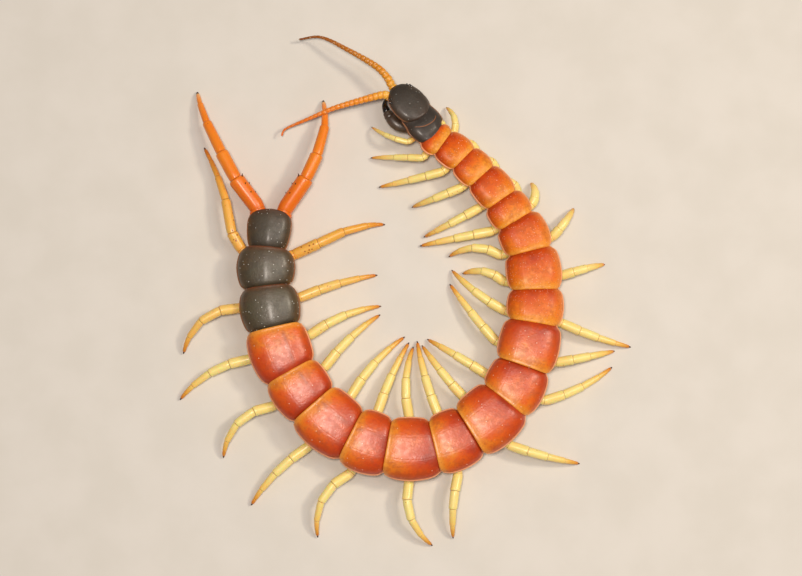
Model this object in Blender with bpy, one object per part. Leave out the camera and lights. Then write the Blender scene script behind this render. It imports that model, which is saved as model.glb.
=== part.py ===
"""Giant desert centipede, a still life-size model resting on twenty-one pairs of legs.

The trunk curls in a hook, back up, with the head and the tail both at the far side.
Each length of trunk, the head, each fang, each antenna and each leg is one closed solid.
+Z is up, the floor is Z = 0, and the origin is under the middle of the whole animal.
"""
import math

import bmesh
import bpy
from mathutils import Matrix, Vector

# Sizes and places below are in millimetres, angles in degrees.
MM = 0.001
GAP = 0.3

# Middle of the finished animal's outline, so that the origin lies under it.
OUTLINE_MIDDLE = (1.0, 0.0)

# The trunk's middle line seen from above: tip of the head, neck, then every second joint to the tail.
TRUNK_LINE = [
    (-2.1, 42.4), (4.0, 36.0), (6.6, 32.3), (13.3, 27.2), (21.3, 18.3), (27.1, 7.3), (27.6, -7.9),
    (21.4, -24.1), (6.4, -33.4), (-11.0, -30.6), (-23.4, -17.3), (-28.1, 0.6), (-27.4, 16.6),
]

# One row for each back plate from the neck to the tail: its length and its greatest width.
HEAD_LENGTH = 8.8
PLATES = [
    (4.3, 8.1), (3.2, 7.9), (5.4, 8.1), (5.3, 8.3), (6.5, 8.7), (5.4, 9.4), (7.1, 10.6),
    (8.2, 11.6), (7.0, 11.9), (9.3, 12.8), (8.2, 12.7), (9.7, 13.5), (8.1, 12.9), (9.9, 13.2),
    (8.0, 13.3), (10.1, 13.3), (8.4, 12.7), (9.8, 13.1), (8.8, 12.6), (8.1, 12.2), (7.7, 9.2),
]

# Trunk height for its width, and the level of the belly.
HEIGHT_FOR_WIDTH = 0.5
HEIGHT_EXTRA = 0.2
BELLY_LEVEL = 2.0

# Cross-section: level of the rim as a share of the height, how full the arch is sideways and upward, its
# corners, and the soft underside from the left flank to the right as shares of width and height.
RIM_LEVEL = 0.5
ARCH_POWERS = (0.8, 0.85)
ARCH_STEPS = 8
UNDERSIDE = [(-0.45, 0.3), (-0.31, 0.03), (0.0, 0.0), (0.31, 0.03), (0.45, 0.3)]

# The front is rolled onto its right side about a line above the belly, and carried a little higher.
FRONT_ROLL = 15.0
ROLL_ENDS_AT_PLATE = 8
ROLL_GROWTH = 1.6
ROLL_AXIS_UP = 2.6
FRONT_LIFT = 0.9

# Which plates each length of trunk carries.
TRUNK_LENGTHS = [
    (1, 1), (2, 3), (4, 5), (6, 7), (8, 9), (10, 11), (12, 13), (14, 15), (16, 18), (19, 20), (21, 21),
]
FIRST_DARK_PLATE = 19

# Outline of one plate along its length: where, share of its width, share of its height.
PLATE_OUTLINE = [
    (0.0, 0.84, 0.92), (0.16, 0.95, 0.97), (0.5, 1.0, 1.0), (0.84, 0.965, 1.0), (1.0, 0.88, 0.975),
]
NECK_PLATE_OUTLINE = [
    (0.0, 0.96, 0.94), (0.3, 1.0, 0.98), (0.55, 1.0, 1.0), (0.85, 0.9, 0.98), (1.0, 0.78, 0.95),
]
DARK_PLATE_OUTLINE = [
    (0.0, 0.78, 0.92), (0.14, 0.92, 0.97), (0.5, 1.0, 1.0), (0.84, 0.93, 0.995), (1.0, 0.8, 0.96),
]
LAST_PLATE_OUTLINE = [
    (0.0, 0.82, 0.9), (0.2, 0.95, 0.98), (0.5, 1.0, 1.0), (0.78, 0.93, 0.98), (0.92, 0.77, 0.94),
    (1.0, 0.6, 0.88),
]
JOINT_STEP = 0.25

# One row for each walking leg from the neck: its hip as a share of its plate's length, then the foot's place
# seen from above and the sideways bow, which is positive to the left of the way out. A row with only the hip
# is a leg folded under the body. A row with a list gives how far out the hip is, as a share of the plate's
# width, and the place and height of every joint instead.
LEFT_LEGS = [
    (0.7, -6.3, 34.9, 0.7), (0.5, -6.5, 28.2, 0.0), (0.68, -4.7, 21.9, 0.2), (0.75, 2.3, 17.6, 0.3),
    (0.75, 4.8, 11.2, 0.3), (0.82, 4.0, 9.3, 0.0), (0.82, 10.1, 7.0, -1.6), (0.7, 13.0, 3.4, -1.2),
    (0.7, 10.7, 4.2, 0.8), (0.6, 10.3, 1.2, 0.3), (0.62, 5.5, -10.5, 0.0), (0.65, 4.4, -11.8, 0.4),
    (0.6, 3.4, -10.9, 0.5), (0.55, 2.6, -12.1, 1.2), (0.53, 1.7, -11.2, 0.5), (0.53, 0.8, -10.0, 1.0),
    (0.63, -4.4, -5.3, 0.7), (0.64, -4.2, -3.5, 1.0), (0.66, -5.0, 3.1, 0.5),
    (0.93, 0.47, [
        (-17.3, 9.4, 4.5), (-12.1, 11.9, 4.3), (-7.2, 13.4, 2.6), (-5.3, 13.8, 1.5), (-3.4, 13.9, 0.75),
    ]),
]
RIGHT_LEGS = [
    (0.66,), (1.15, 9.6, 39.1, -0.9), (0.8,), (0.8,), (0.8,),
    (0.78, 27.6, 22.8, -0.8), (0.79, 36.7, 17.4, -0.3), (0.68, 43.2, 5.4, 0.0), (0.86, 48.5, -12.2, -0.5),
    (0.7, 45.1, -13.0, -0.2), (0.53, 44.5, -16.4, -0.9), (0.54, 37.5, -36.7, -0.4), (0.67, 10.9, -52.3, -0.6),
    (0.53, 6.6, -53.8, -2.4), (0.66, -17.4, -52.1, -2.8), (0.53, -31.4, -45.4, -1.0),
    (0.55, -37.3, -35.5, -2.9), (0.56, -46.5, -23.3, -1.7), (0.63, -45.9, -13.6, -2.9),
    (0.97, 0.45, [
        (-35.6, 11.6, 4.1), (-37.0, 18.7, 3.7), (-38.8, 23.9, 2.4), (-40.4, 27.5, 1.4), (-41.9, 30.4, 0.75),
    ]),
]

# The legs folded back under the body: how far back, how far in, bow, dip, and their hips' share of a sweep.
TUCK_BACK = 6.2
TUCK_IN = 2.4
TUCK_BOW = 0.45
TUCK_DIP = -0.9
TUCK_SWEEP = 0.55
TUCK_ROOT_ALONG = 0.3

# The last pair trails behind the tail: places and heights of the joints of each.
LEFT_TRAILING = [
    (-20.0, 23.1, 5.4), (-17.7, 28.1, 5.4), (-16.1, 34.4, 4.0), (-16.2, 38.1, 2.2), (-16.6, 40.6, 0.75),
]
RIGHT_TRAILING = [
    (-34.8, 23.0, 5.0), (-37.9, 28.7, 4.6), (-41.2, 35.4, 3.2), (-42.8, 39.7, 1.7), (-43.5, 42.4, 0.75),
]

# Leg joints as shares of a leg's length, thickness at the thickest, and each part's share of it.
LEG_JOINTS = (0.26, 0.52, 0.77, 0.90, 1.0)
LEG_PARTS = (1.0, 0.93, 0.74, 0.53, 0.36)
LEG_RADIUS = 1.05
TRAILING_PARTS = (1.0, 0.8, 0.68, 0.46, 0.3)
TRAILING_RADIUS = 1.8

# Short spines on the first part of a trailing leg: share of its length, angle round it, height.
TRAILING_SPINES = [
    (0.45, 60.0, 0.35), (0.72, 55.0, 0.4), (0.38, 15.0, 0.35), (0.66, 10.0, 0.4),
    (0.4, -35.0, 0.35), (0.7, -40.0, 0.4), (0.5, -95.0, 0.35), (0.78, -90.0, 0.4), (0.93, 35.0, 0.75),
]
SPINE_RADIUS = 0.28
SPINE_TIP_RADIUS = 0.03
SPINE_ROOT = 0.3
SPINE_LEAN = 0.7
SPINE_SIDES = 5
SPINE_SKIN_FALL = 0.35
SPINE_SKIN_FULL_AT = 0.55

# The longest leg, how a leg swells and narrows between its joints, its foot, and how high it arches.
LONGEST_LEG = 19.0
SWELL_AT = 0.62
ROOT_SHARE = 0.9
JOINT_PINCH = 0.88
ANKLE_LEVEL = 0.75
CLAW_REACH = 0.45
CLAW_SHARE = 0.35
ANKLE_RADIUS = 0.26
SOLE_RADIUS = 0.2
LEAST_RISE = 0.7
MOST_RISE = 1.9
MOST_RISE_FOR_REACH = 0.2
LEG_SIDES = 7

# The hips: how far out as a share of the plate's width, how high above the belly, and their sunken root.
HIP_OUT = 0.475
HIP_UP = 0.2
HIP_SPARE_RADIUS = 0.2
HIP_SWEEP = 1.45
HIP_ROOT_OUT = 0.24
HIP_ROOT_ALONG = 0.75
HIP_SIDES = 8
TRAILING_HIP_OUT = 0.29
TRAILING_HIP_UP = 0.42
TRAILING_HIP_LENGTH = 0.8
TRAILING_HIP_ROOT = 3.0
TRAILING_PLANE_BACK = 1.0

# Head: outline along its length as share of length, share of width, share of height.
HEAD_WIDTH = 7.7
HEAD_HEIGHT = 3.3
HEAD_LEVEL = 3.5
FRONT_THINNING = 0.4
HEAD_OUTLINE = [
    (0.07, 0.34, 0.5), (0.12, 0.54, 0.72), (0.24, 0.8, 0.9), (0.42, 0.96, 1.0),
    (0.6, 1.0, 1.0), (0.78, 0.95, 0.98), (0.92, 0.84, 0.93), (0.983, 0.74, 0.88),
]

# Four eyes on each side of the head: distance from its tip, angle up from its rim, radius.
EYES = [(1.85, 24.0, 0.2), (2.15, 42.0, 0.22), (2.35, 16.0, 0.22), (2.8, 32.0, 0.26)]

# Antennae: each socket as distance from the head's tip and out from the middle, their shared root as the same
# with half the spread of the two, the way of each above the floor, base and tip radius, number of rings.
SOCKETS = {-1: (0.7, -1.9), 1: (-0.3, 0.35)}
SOCKET_UP = 2.9
SOCKET_ROOT = (2.1, -0.6, 0.7)
SOCKET_ROOT_DROP = 0.8
RIGHT_ANTENNA_LINE = [
    (-3.1, 44.7, 6.3), (-5.5, 47.0, 6.2), (-11.2, 50.5, 5.5), (-17.0, 53.6, 3.8), (-21.8, 53.5, 2.2),
]
LEFT_ANTENNA_LINE = [
    (-4.4, 40.6, 6.4), (-8.8, 39.5, 6.0), (-14.4, 38.0, 5.1), (-19.7, 36.0, 3.8),
    (-24.4, 34.2, 2.3), (-25.4, 32.7, 1.9),
]
ANTENNA_RADIUS = 0.9
ANTENNA_TIP_RADIUS = 0.22
ANTENNA_TAPER = 0.7
ANTENNA_RINGS = 24
ANTENNA_SIDES = 6

# Fangs and the plate under the head that carries them: distance from the head's tip, then distance out.
FANG_LINE = [(8.65, 2.85), (6.4, 3.85), (3.8, 3.75), (1.5, 2.75), (0.55, 0.9)]
FANG_RADII = [(0.0, 1.05), (0.22, 1.35), (0.5, 1.2), (0.66, 0.85), (0.82, 0.55), (1.0, 0.12)]
FANG_UP = 0.1
FANG_FLATNESS = 0.78
THROAT_PLATE = [(3.3, 1.4), (4.4, 2.7), (7.2, 3.1), (8.65, 2.7)]
THROAT_UP = -1.0
THROAT_HEIGHT = 2.2


def clear_scene():
    """Removes whatever the scene holds."""
    for thing in list(bpy.data.objects):
        bpy.data.objects.remove(thing, do_unlink=True)


def smooth_line(stations, steps=24):
    """Points close together on a smooth curve through the stations."""
    dots = [Vector(p) for p in stations]
    dots = [dots[0] * 2 - dots[1]] + dots + [dots[-1] * 2 - dots[-2]]
    line = []
    for a, b, c, d in zip(dots, dots[1:], dots[2:], dots[3:]):
        for step in range(steps):
            t = step / steps
            line.append(0.5 * (2 * b + (c - a) * t + (2 * a - 5 * b + 4 * c - d) * t ** 2
                               + (3 * b - a - 3 * c + d) * t ** 3))
    line.append(dots[-2])
    return line


class Way:
    """A line of close points that is read by the distance along it."""

    def __init__(self, points):
        self.points = points
        self.marks = [0.0]
        for a, b in zip(points, points[1:]):
            self.marks.append(self.marks[-1] + (b - a).length)
        self.length = self.marks[-1]

    def at(self, distance):
        index = 1
        while index < len(self.marks) - 1 and self.marks[index] < distance:
            index += 1
        span = self.marks[index] - self.marks[index - 1]
        share = (distance - self.marks[index - 1]) / span
        return self.points[index - 1].lerp(self.points[index], share)

    def heading(self, distance, reach=0.5):
        return (self.at(distance + reach) - self.at(distance - reach)).normalized()


def placed(point):
    """A place in the plan, moved so that the origin is under the middle of the outline."""
    height = point[2] if len(point) > 2 else 0.0
    return Vector((point[0] - OUTLINE_MIDDLE[0], point[1] - OUTLINE_MIDDLE[1], height))


UP = Vector((0.0, 0.0, 1.0))
TRUNK = Way(smooth_line([placed(p) for p in TRUNK_LINE]))


def plate_start(number):
    """Distance from the tip of the head to the front edge of a back plate."""
    return HEAD_LENGTH + sum(length for length, _ in PLATES[:number - 1])


def roll_at(distance):
    """Roll of the trunk in radians: most at the head, none past the plate where it ends."""
    share = 1.0 - distance / plate_start(ROLL_ENDS_AT_PLATE)
    return math.radians(FRONT_ROLL) * min(1.0, ROLL_GROWTH * max(0.0, share))


def trunk_frame(distance):
    """Middle of the belly, right and up directions of the trunk at a distance from the tip of the head."""
    right = UP.cross(TRUNK.heading(distance)).normalized()
    roll = roll_at(distance)
    aside = right * math.cos(roll) - UP * math.sin(roll)
    upward = UP * math.cos(roll) + right * math.sin(roll)
    lift = FRONT_LIFT * roll / math.radians(FRONT_ROLL)
    belly = TRUNK.at(distance) + UP * (BELLY_LEVEL + lift + ROLL_AXIS_UP) - upward * ROLL_AXIS_UP
    return belly, aside, upward


def trunk_point(distance, out, up, edge=None):
    """A point beside the trunk: out to the right, up from the belly, in an edge's plane if one is given."""
    belly, aside, upward = trunk_frame(distance if edge is None else edge)
    if edge is not None:
        belly += TRUNK.heading(edge) * (distance - edge)
    return belly + aside * out + upward * up


def plate_height(width):
    return width * HEIGHT_FOR_WIDTH + HEIGHT_EXTRA


def arch_point(angle, width, height):
    """A point on the arched back at an angle from the right rim, as out and up."""
    cos, sin = math.cos(angle), math.sin(angle)
    out = math.copysign(abs(cos) ** ARCH_POWERS[0], cos) * width / 2
    return out, height * (RIM_LEVEL + (1 - RIM_LEVEL) * sin ** ARCH_POWERS[1])


def trunk_section(width, height):
    """Cross-section of the trunk: an arched back plate with a rim, soft flanks and a flat belly."""
    arch = [arch_point(math.pi * step / ARCH_STEPS, width, height) for step in range(ARCH_STEPS + 1)]
    return arch + [(out * width, up * height) for out, up in UNDERSIDE]


def loft(rings):
    """One closed solid: the first ring as a face, drawn out through all the other rings."""
    mesh = bmesh.new()
    end = mesh.faces.new([mesh.verts.new(point) for point in rings[0]])
    first = end
    for ring in rings[1:]:
        grown = bmesh.ops.extrude_face_region(mesh, geom=[end])
        if end is not first:
            mesh.faces.remove(end)
        end = next(part for part in grown["geom"] if isinstance(part, bmesh.types.BMFace))
        for corner, point in zip(end.verts, ring):
            corner.co = point
    bmesh.ops.recalc_face_normals(mesh, faces=mesh.faces)
    return mesh


def add_solid(name, mesh, paint):
    """Adds a solid modelled in millimetres to the scene as an object in metres."""
    bmesh.ops.scale(mesh, vec=(MM, MM, MM), verts=mesh.verts)
    data = bpy.data.meshes.new(name)
    mesh.to_mesh(data)
    mesh.free()
    data.shade_smooth()
    data.set_sharp_from_angle(angle=math.radians(50))
    thing = bpy.data.objects.new(name, data)
    bpy.context.scene.collection.objects.link(thing)
    thing.data.materials.append(paint)
    return thing


def paint(name, colour, roughness):
    """A plain finish for one kind of surface."""
    finish = bpy.data.materials.new(name)
    finish.use_nodes = True
    shader = finish.node_tree.nodes["Principled BSDF"]
    shader.inputs["Base Color"].default_value = (*colour, 1.0)
    shader.inputs["Roughness"].default_value = roughness
    shader.inputs["Metallic"].default_value = 0.0
    return finish


def tube(way, marks, sides, flatness=1.0, first_heading=None, last_heading=None):
    """Rings across a line, one at each (distance, radius) mark."""
    rings = []
    for place, (distance, radius) in enumerate(marks):
        heading = way.heading(min(max(distance, 0.05), way.length - 0.05), 0.05)
        if place == 0 and first_heading is not None:
            heading = first_heading
        if place == len(marks) - 1 and last_heading is not None:
            heading = last_heading
        flat = Vector((way.heading(way.length / 2, way.length / 2).to_2d().to_3d()))
        level = Vector((heading.x, heading.y, 0.0))
        side = UP.cross(level if level.length > 0.2 else flat).normalized()
        top = heading.cross(side).normalized()
        ring = []
        for corner in range(sides):
            angle = 2 * math.pi * (corner + 0.5) / sides
            across = side * math.cos(angle) + top * math.sin(angle) * flatness
            ring.append(way.at(distance) + across * radius)
        rings.append(ring)
    return rings


def bowed(hip, foot, bow, rise):
    """Joint places of a leg with a flat bow seen from above and an arch seen from the side, its hip first."""
    over = Vector((foot.x - hip.x, foot.y - hip.y, 0.0))
    aside = Vector((-over.y, over.x, 0.0)).normalized()
    points = []
    for step in range(41):
        t = step / 40
        place = hip.lerp(Vector((foot.x, foot.y, ANKLE_LEVEL)), t)
        points.append(place + (aside * bow + UP * rise) * (4 * t * (1 - t)))
    way = Way(points)
    return [hip] + [way.at(share * way.length) for share in LEG_JOINTS]


def with_claw(corners):
    """The line of a leg through its joints, ending with the claw down to the floor."""
    last = corners[-1] - corners[-2]
    toward = last.to_2d().to_3d().normalized()
    ankle = corners[-1] - toward * min(CLAW_REACH, last.length * CLAW_SHARE)
    sole = Vector((corners[-1].x, corners[-1].y, 0.0))
    return Way(corners[:-1] + [ankle, sole])


def leg_marks(way, radius, parts):
    """Ring places and radii: each part swells past its middle and is pinched at its joints."""
    marks = [(0.0, radius * ROOT_SHARE)]
    for number, (start, end, share) in enumerate(zip(way.marks, way.marks[1:], parts)):
        marks.append((start + (end - start) * SWELL_AT, radius * share))
        last = number == len(parts) - 1
        pinch = ANKLE_RADIUS if last else radius * (share + parts[number + 1]) / 2 * JOINT_PINCH
        marks.append((end, pinch))
    marks.append((way.length, SOLE_RADIUS))
    return marks


def add_leg(name, corners, radius, parts, finish):
    """One leg from the face of its hip to a small flat sole on the floor; gives back its object and line."""
    heading = (corners[1] - corners[0]).normalized()
    way = with_claw([corners[0] + heading * GAP] + corners[1:])
    rings = tube(way, leg_marks(way, radius, parts), LEG_SIDES, first_heading=heading, last_heading=-UP)
    return add_solid(name, loft(rings), finish), way


def stub(inner, outer, heading, radius):
    """A short round stub from a root inside the body to a flat end that faces along the heading."""
    way = Way([inner, outer])
    marks = [(0.0, radius), (way.length, radius)]
    return loft(tube(way, marks, HIP_SIDES, last_heading=heading))


def spine(way, side, share, angle, height):
    """A short spine on the first part of a trailing leg, leaning to its tip; angle 0 is the inner side."""
    heading = way.heading(0.5)
    inward = -side * UP.cross(heading).normalized()
    outward = Matrix.Rotation(-math.radians(angle) * side, 3, heading) @ inward
    middle = way.at(way.marks[1] * share)
    skin = TRAILING_RADIUS * (1.0 - SPINE_SKIN_FALL * abs(share - SPINE_SKIN_FULL_AT))
    lean = (outward + heading * SPINE_LEAN).normalized()
    length = height + SPINE_ROOT
    middle += outward * (skin - SPINE_ROOT) + lean * length / 2
    place = Matrix.Translation(middle) @ lean.to_track_quat("Z", "Y").to_matrix().to_4x4()
    mesh = bmesh.new()
    bmesh.ops.create_cone(mesh, cap_ends=True, segments=SPINE_SIDES, radius1=SPINE_RADIUS,
                          radius2=SPINE_TIP_RADIUS, depth=length, matrix=place)
    return mesh


def fuse(thing, pieces):
    """Joins closed pieces to an object by one union, and keeps its largest closed surface."""
    group = bpy.data.collections.new("pieces")
    for number, piece in enumerate(pieces):
        bmesh.ops.scale(piece, vec=(MM, MM, MM), verts=piece.verts)
        data = bpy.data.meshes.new(f"piece_{number}")
        piece.to_mesh(data)
        piece.free()
        group.objects.link(bpy.data.objects.new(f"piece_{number}", data))
    union = thing.modifiers.new("Union", "BOOLEAN")
    union.operation = "UNION"
    union.operand_type = "COLLECTION"
    union.collection = group
    bpy.context.view_layer.update()
    solid = bpy.data.meshes.new_from_object(thing.evaluated_get(bpy.context.evaluated_depsgraph_get()))
    thing.modifiers.clear()
    thing.data = solid
    for piece in list(group.objects):
        bpy.data.objects.remove(piece, do_unlink=True)
    bpy.data.collections.remove(group)
    keep_largest(thing.data)


def keep_largest(data):
    """Drops every loose scrap but the largest surface."""
    mesh = bmesh.new()
    mesh.from_mesh(data)
    left = set(mesh.verts)
    groups = []
    while left:
        stack = [left.pop()]
        group = list(stack)
        while stack:
            for edge in stack.pop().link_edges:
                for corner in edge.verts:
                    if corner in left:
                        left.remove(corner)
                        stack.append(corner)
                        group.append(corner)
        groups.append(group)
    groups.sort(key=len)
    for group in groups[:-1]:
        bmesh.ops.delete(mesh, geom=group, context="VERTS")
    mesh.to_mesh(data)
    mesh.free()


def trunk_rings(first, last):
    """Cross-sections of one length of trunk, from the front of its first plate to the back of its last."""
    begin = plate_start(first) + GAP / 2
    end = plate_start(last + 1) - GAP / 2
    edges = {begin: plate_start(first), end: plate_start(last + 1)}
    rings = []
    for number in range(first, last + 1):
        length, width = PLATES[number - 1]
        outline = PLATE_OUTLINE if number < FIRST_DARK_PLATE else DARK_PLATE_OUTLINE
        outline = {1: NECK_PLATE_OUTLINE, len(PLATES): LAST_PLATE_OUTLINE}.get(number, outline)
        for share, width_share, height_share in outline:
            distance = plate_start(number) + share * length
            if share == 0.0 and number > first:
                distance += JOINT_STEP
            distance = min(max(distance, begin), end)
            section = trunk_section(width * width_share, plate_height(width) * height_share)
            rings.append([trunk_point(distance, out, up, edges.get(distance)) for out, up in section])
    return rings


def hip_along(number, side, furthest=2.0):
    """Distance of a hip from the tip of the head, or of its root where the furthest share is less."""
    share = min((LEFT_LEGS if side < 0 else RIGHT_LEGS)[number - 1][0], furthest)
    return plate_start(number) + PLATES[number - 1][0] * share


def hip_place(number, side, share_out, spare=0.0, furthest=2.0):
    """A point at the height of a hip; side is 1 on the right and -1 on the left."""
    width = PLATES[number - 1][1]
    out = side * (width * share_out + spare)
    return trunk_point(hip_along(number, side, furthest), out, plate_height(width) * HIP_UP)


def leg_length(number):
    """Length of a walking leg: short in front, longer over the first six, longest at the tail."""
    growth = min(1.0, (number - 1) / 5)
    return 9.5 + 5.5 * growth + 2.5 * (number / 20) ** 2 + (3.0 if number == 20 else 0.0)


def leg_rise(number, reach):
    slack = max(0.0, leg_length(number) ** 2 - reach ** 2)
    return min(MOST_RISE, MOST_RISE_FOR_REACH * reach, max(LEAST_RISE, 0.4 * math.sqrt(slack)))


def leg_corners(number, side, place, spare):
    """Hip and joint places of a walking leg from its row, with the hip set out by spare."""
    hip = hip_place(number, side, HIP_OUT, spare)
    if len(place) == 1:
        inward = hip_place(number, side, HIP_OUT, spare - TUCK_IN) - hip
        foot = hip + TRUNK.heading(hip_along(number, side)) * TUCK_BACK + inward
        return bowed(hip, foot, TUCK_BOW, TUCK_DIP)
    if len(place) == 3:
        return [hip_place(number, side, place[1])] + [placed(joint) for joint in place[2]]
    foot = placed(place[1:3])
    return bowed(hip, foot, place[3], leg_rise(number, (foot - hip).to_2d().length))


def walking_leg(number, side, place):
    """Corners and radius of a walking leg, its hip set further out where it sweeps along the trunk."""
    radius = LEG_RADIUS * (0.55 + 0.45 * leg_length(number) / LONGEST_LEG)
    corners = leg_corners(number, side, place, 0.0)
    heading = (corners[1] - corners[0]).normalized()
    spare = HIP_SWEEP * radius * abs(heading.dot(TRUNK.heading(hip_along(number, side))))
    if len(place) == 1:
        spare *= TUCK_SWEEP
    return leg_corners(number, side, place, spare), radius


def build_legs(pale, bright):
    """All forty-two legs; gives back the hip stubs for each plate."""
    stubs = {number: [] for number in range(1, 22)}
    for side, word, rows in ((-1, "left", LEFT_LEGS), (1, "right", RIGHT_LEGS)):
        for number, place in enumerate(rows, start=1):
            corners, radius = walking_leg(number, side, place)
            way = add_leg(f"leg_{word}_{number:02d}", corners, radius, LEG_PARTS, pale)[1]
            furthest = TUCK_ROOT_ALONG if len(place) == 1 else HIP_ROOT_ALONG
            root = hip_place(number, side, HIP_ROOT_OUT, furthest=furthest)
            round_hip = radius * ROOT_SHARE + HIP_SPARE_RADIUS
            stubs[number].append(stub(root, corners[0], way.heading(0.5), round_hip))
    end = plate_start(22)
    width = PLATES[-1][1]
    for side, word, joints in ((-1, "left", LEFT_TRAILING), (1, "right", RIGHT_TRAILING)):
        out, up = side * width * TRAILING_HIP_OUT, plate_height(width) * TRAILING_HIP_UP
        hip = trunk_point(end + TRAILING_HIP_LENGTH, out, up, end - TRAILING_PLANE_BACK)
        root = trunk_point(end - TRAILING_HIP_ROOT, out, up, end - TRAILING_PLANE_BACK)
        corners = [hip] + [placed(joint) for joint in joints]
        leg, way = add_leg(f"leg_{word}_21", corners, TRAILING_RADIUS, TRAILING_PARTS, bright)
        fuse(leg, [spine(way, side, *place) for place in TRAILING_SPINES])
        stubs[21].append(stub(root, hip, way.heading(0.5), TRAILING_RADIUS * ROOT_SHARE + HIP_SPARE_RADIUS))
    return stubs


def build_trunk(stubs, red, dark):
    """The eleven lengths of trunk with the stubs of their hips."""
    for first, last in TRUNK_LENGTHS:
        name = f"trunk_{first:02d}" if first == last else f"trunk_{first:02d}_{last:02d}"
        finish = dark if first >= FIRST_DARK_PLATE or first == 1 else red
        thing = add_solid(name, loft(trunk_rings(first, last)), finish)
        fuse(thing, [stub for number in range(first, last + 1) for stub in stubs[number]])


def socket_place(side):
    return trunk_point(*SOCKETS[side], SOCKET_UP)


def antenna_way(side, line):
    """The line of an antenna from its socket at the tip of the head."""
    return Way(smooth_line([socket_place(side)] + [placed(p) for p in line]))


def head_lift(height_share):
    """How far the underside of the head lies above the belly; the thin front is lifted most."""
    return HEAD_LEVEL - BELLY_LEVEL + HEAD_HEIGHT * (1 - height_share) * FRONT_THINNING


def eye(side, along, angle, radius):
    """One simple eye: a small round bead half sunk in the head above its rim."""
    for (share, width_share, height_share), after in zip(HEAD_OUTLINE, HEAD_OUTLINE[1:]):
        if share * HEAD_LENGTH <= along <= after[0] * HEAD_LENGTH:
            mix = (along / HEAD_LENGTH - share) / (after[0] - share)
            width_share += (after[1] - width_share) * mix
            height_share += (after[2] - height_share) * mix
            break
    out, up = arch_point(math.radians(angle), HEAD_WIDTH * width_share, HEAD_HEIGHT * height_share)
    mesh = bmesh.new()
    place = Matrix.Translation(trunk_point(along, side * out, up + head_lift(height_share)))
    bmesh.ops.create_icosphere(mesh, subdivisions=1, radius=radius, matrix=place)
    return mesh


def build_head(dark):
    """The head shield with its oval outline, its eyes, and the two sockets of the antennae."""
    rings = []
    for share, width_share, height_share in HEAD_OUTLINE:
        section = trunk_section(HEAD_WIDTH * width_share, HEAD_HEIGHT * height_share)
        lift = head_lift(height_share)
        rings.append([trunk_point(share * HEAD_LENGTH, out, up + lift) for out, up in section])
    head = add_solid("head", loft(rings), dark)
    sockets = [eye(side, *place) for side in (-1, 1) for place in EYES]
    for side, line in ((-1, LEFT_ANTENNA_LINE), (1, RIGHT_ANTENNA_LINE)):
        heading = antenna_way(side, line).heading(0.5)
        along, out, spread = SOCKET_ROOT
        root = trunk_point(along, out + side * spread, SOCKET_UP - SOCKET_ROOT_DROP)
        sockets.append(stub(root, socket_place(side), heading, ANTENNA_RADIUS))
    fuse(head, sockets)


def build_antennae(amber, orange):
    pair = ((1, "right", RIGHT_ANTENNA_LINE, amber), (-1, "left", LEFT_ANTENNA_LINE, orange))
    for side, word, line, finish in pair:
        way = antenna_way(side, line)
        marks = []
        for ring in range(ANTENNA_RINGS + 1):
            share = ring / ANTENNA_RINGS
            radius = ANTENNA_RADIUS + (ANTENNA_TIP_RADIUS - ANTENNA_RADIUS) * share ** ANTENNA_TAPER
            marks.append((GAP + share * (way.length - GAP), radius))
        rings = tube(way, marks, ANTENNA_SIDES, first_heading=way.heading(0.5))
        add_solid(f"antenna_{word}", loft(rings), finish)


def build_fangs(dark):
    for side, word in ((-1, "left"), (1, "right")):
        way = Way(smooth_line([trunk_point(along, side * out, FANG_UP) for along, out in FANG_LINE]))
        marks = [(share * way.length, radius) for share, radius in FANG_RADII]
        back = -TRUNK.heading(FANG_LINE[0][0])
        add_solid(f"forcipule_{word}", loft(tube(way, marks, 8, FANG_FLATNESS, first_heading=back)), dark)


def build_throat(dark):
    rings = []
    for distance, width in THROAT_PLATE:
        section = trunk_section(width, THROAT_HEIGHT)
        rings.append([trunk_point(distance, out, up + THROAT_UP) for out, up in section])
    add_solid("throat_plate", loft(rings), dark)


def build():
    clear_scene()
    red = paint("red_back_plates", (0.56, 0.11, 0.02), 0.35)
    dark = paint("dark_green_black_plates", (0.035, 0.04, 0.035), 0.4)
    pale = paint("yellow_legs", (0.8, 0.55, 0.16), 0.4)
    bright = paint("orange_tail_legs", (0.88, 0.24, 0.03), 0.4)
    amber = paint("amber_antenna", (0.55, 0.17, 0.01), 0.45)
    orange = paint("orange_antenna", (0.85, 0.23, 0.02), 0.45)
    stubs = build_legs(pale, bright)
    build_trunk(stubs, red, dark)
    build_head(dark)
    build_antennae(amber, orange)
    build_fangs(dark)
    build_throat(dark)


build()
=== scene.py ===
"""Looks of a giant desert centipede, a still life-size museum model with its back up.

Each form is modelled straight, with its length along Y, and is then laid along the curve of the animal.
Lengths are in millimetres until a form is laid, and in metres after that.
"""
import bisect
import math

import bpy
from mathutils import Matrix, Vector


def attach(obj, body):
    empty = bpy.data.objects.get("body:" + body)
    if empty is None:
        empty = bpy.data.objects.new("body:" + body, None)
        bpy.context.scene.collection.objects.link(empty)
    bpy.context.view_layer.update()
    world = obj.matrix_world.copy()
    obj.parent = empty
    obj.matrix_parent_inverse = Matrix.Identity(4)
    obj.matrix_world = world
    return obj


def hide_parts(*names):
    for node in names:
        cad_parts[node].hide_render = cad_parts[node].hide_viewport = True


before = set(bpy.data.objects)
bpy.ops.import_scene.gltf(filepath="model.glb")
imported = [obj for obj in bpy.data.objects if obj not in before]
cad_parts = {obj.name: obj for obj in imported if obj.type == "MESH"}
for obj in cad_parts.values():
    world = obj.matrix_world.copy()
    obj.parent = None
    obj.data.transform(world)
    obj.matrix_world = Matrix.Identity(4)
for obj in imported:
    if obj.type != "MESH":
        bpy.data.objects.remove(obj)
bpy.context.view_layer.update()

# The body plan, the same as in the solids.
MM = 0.001
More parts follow.
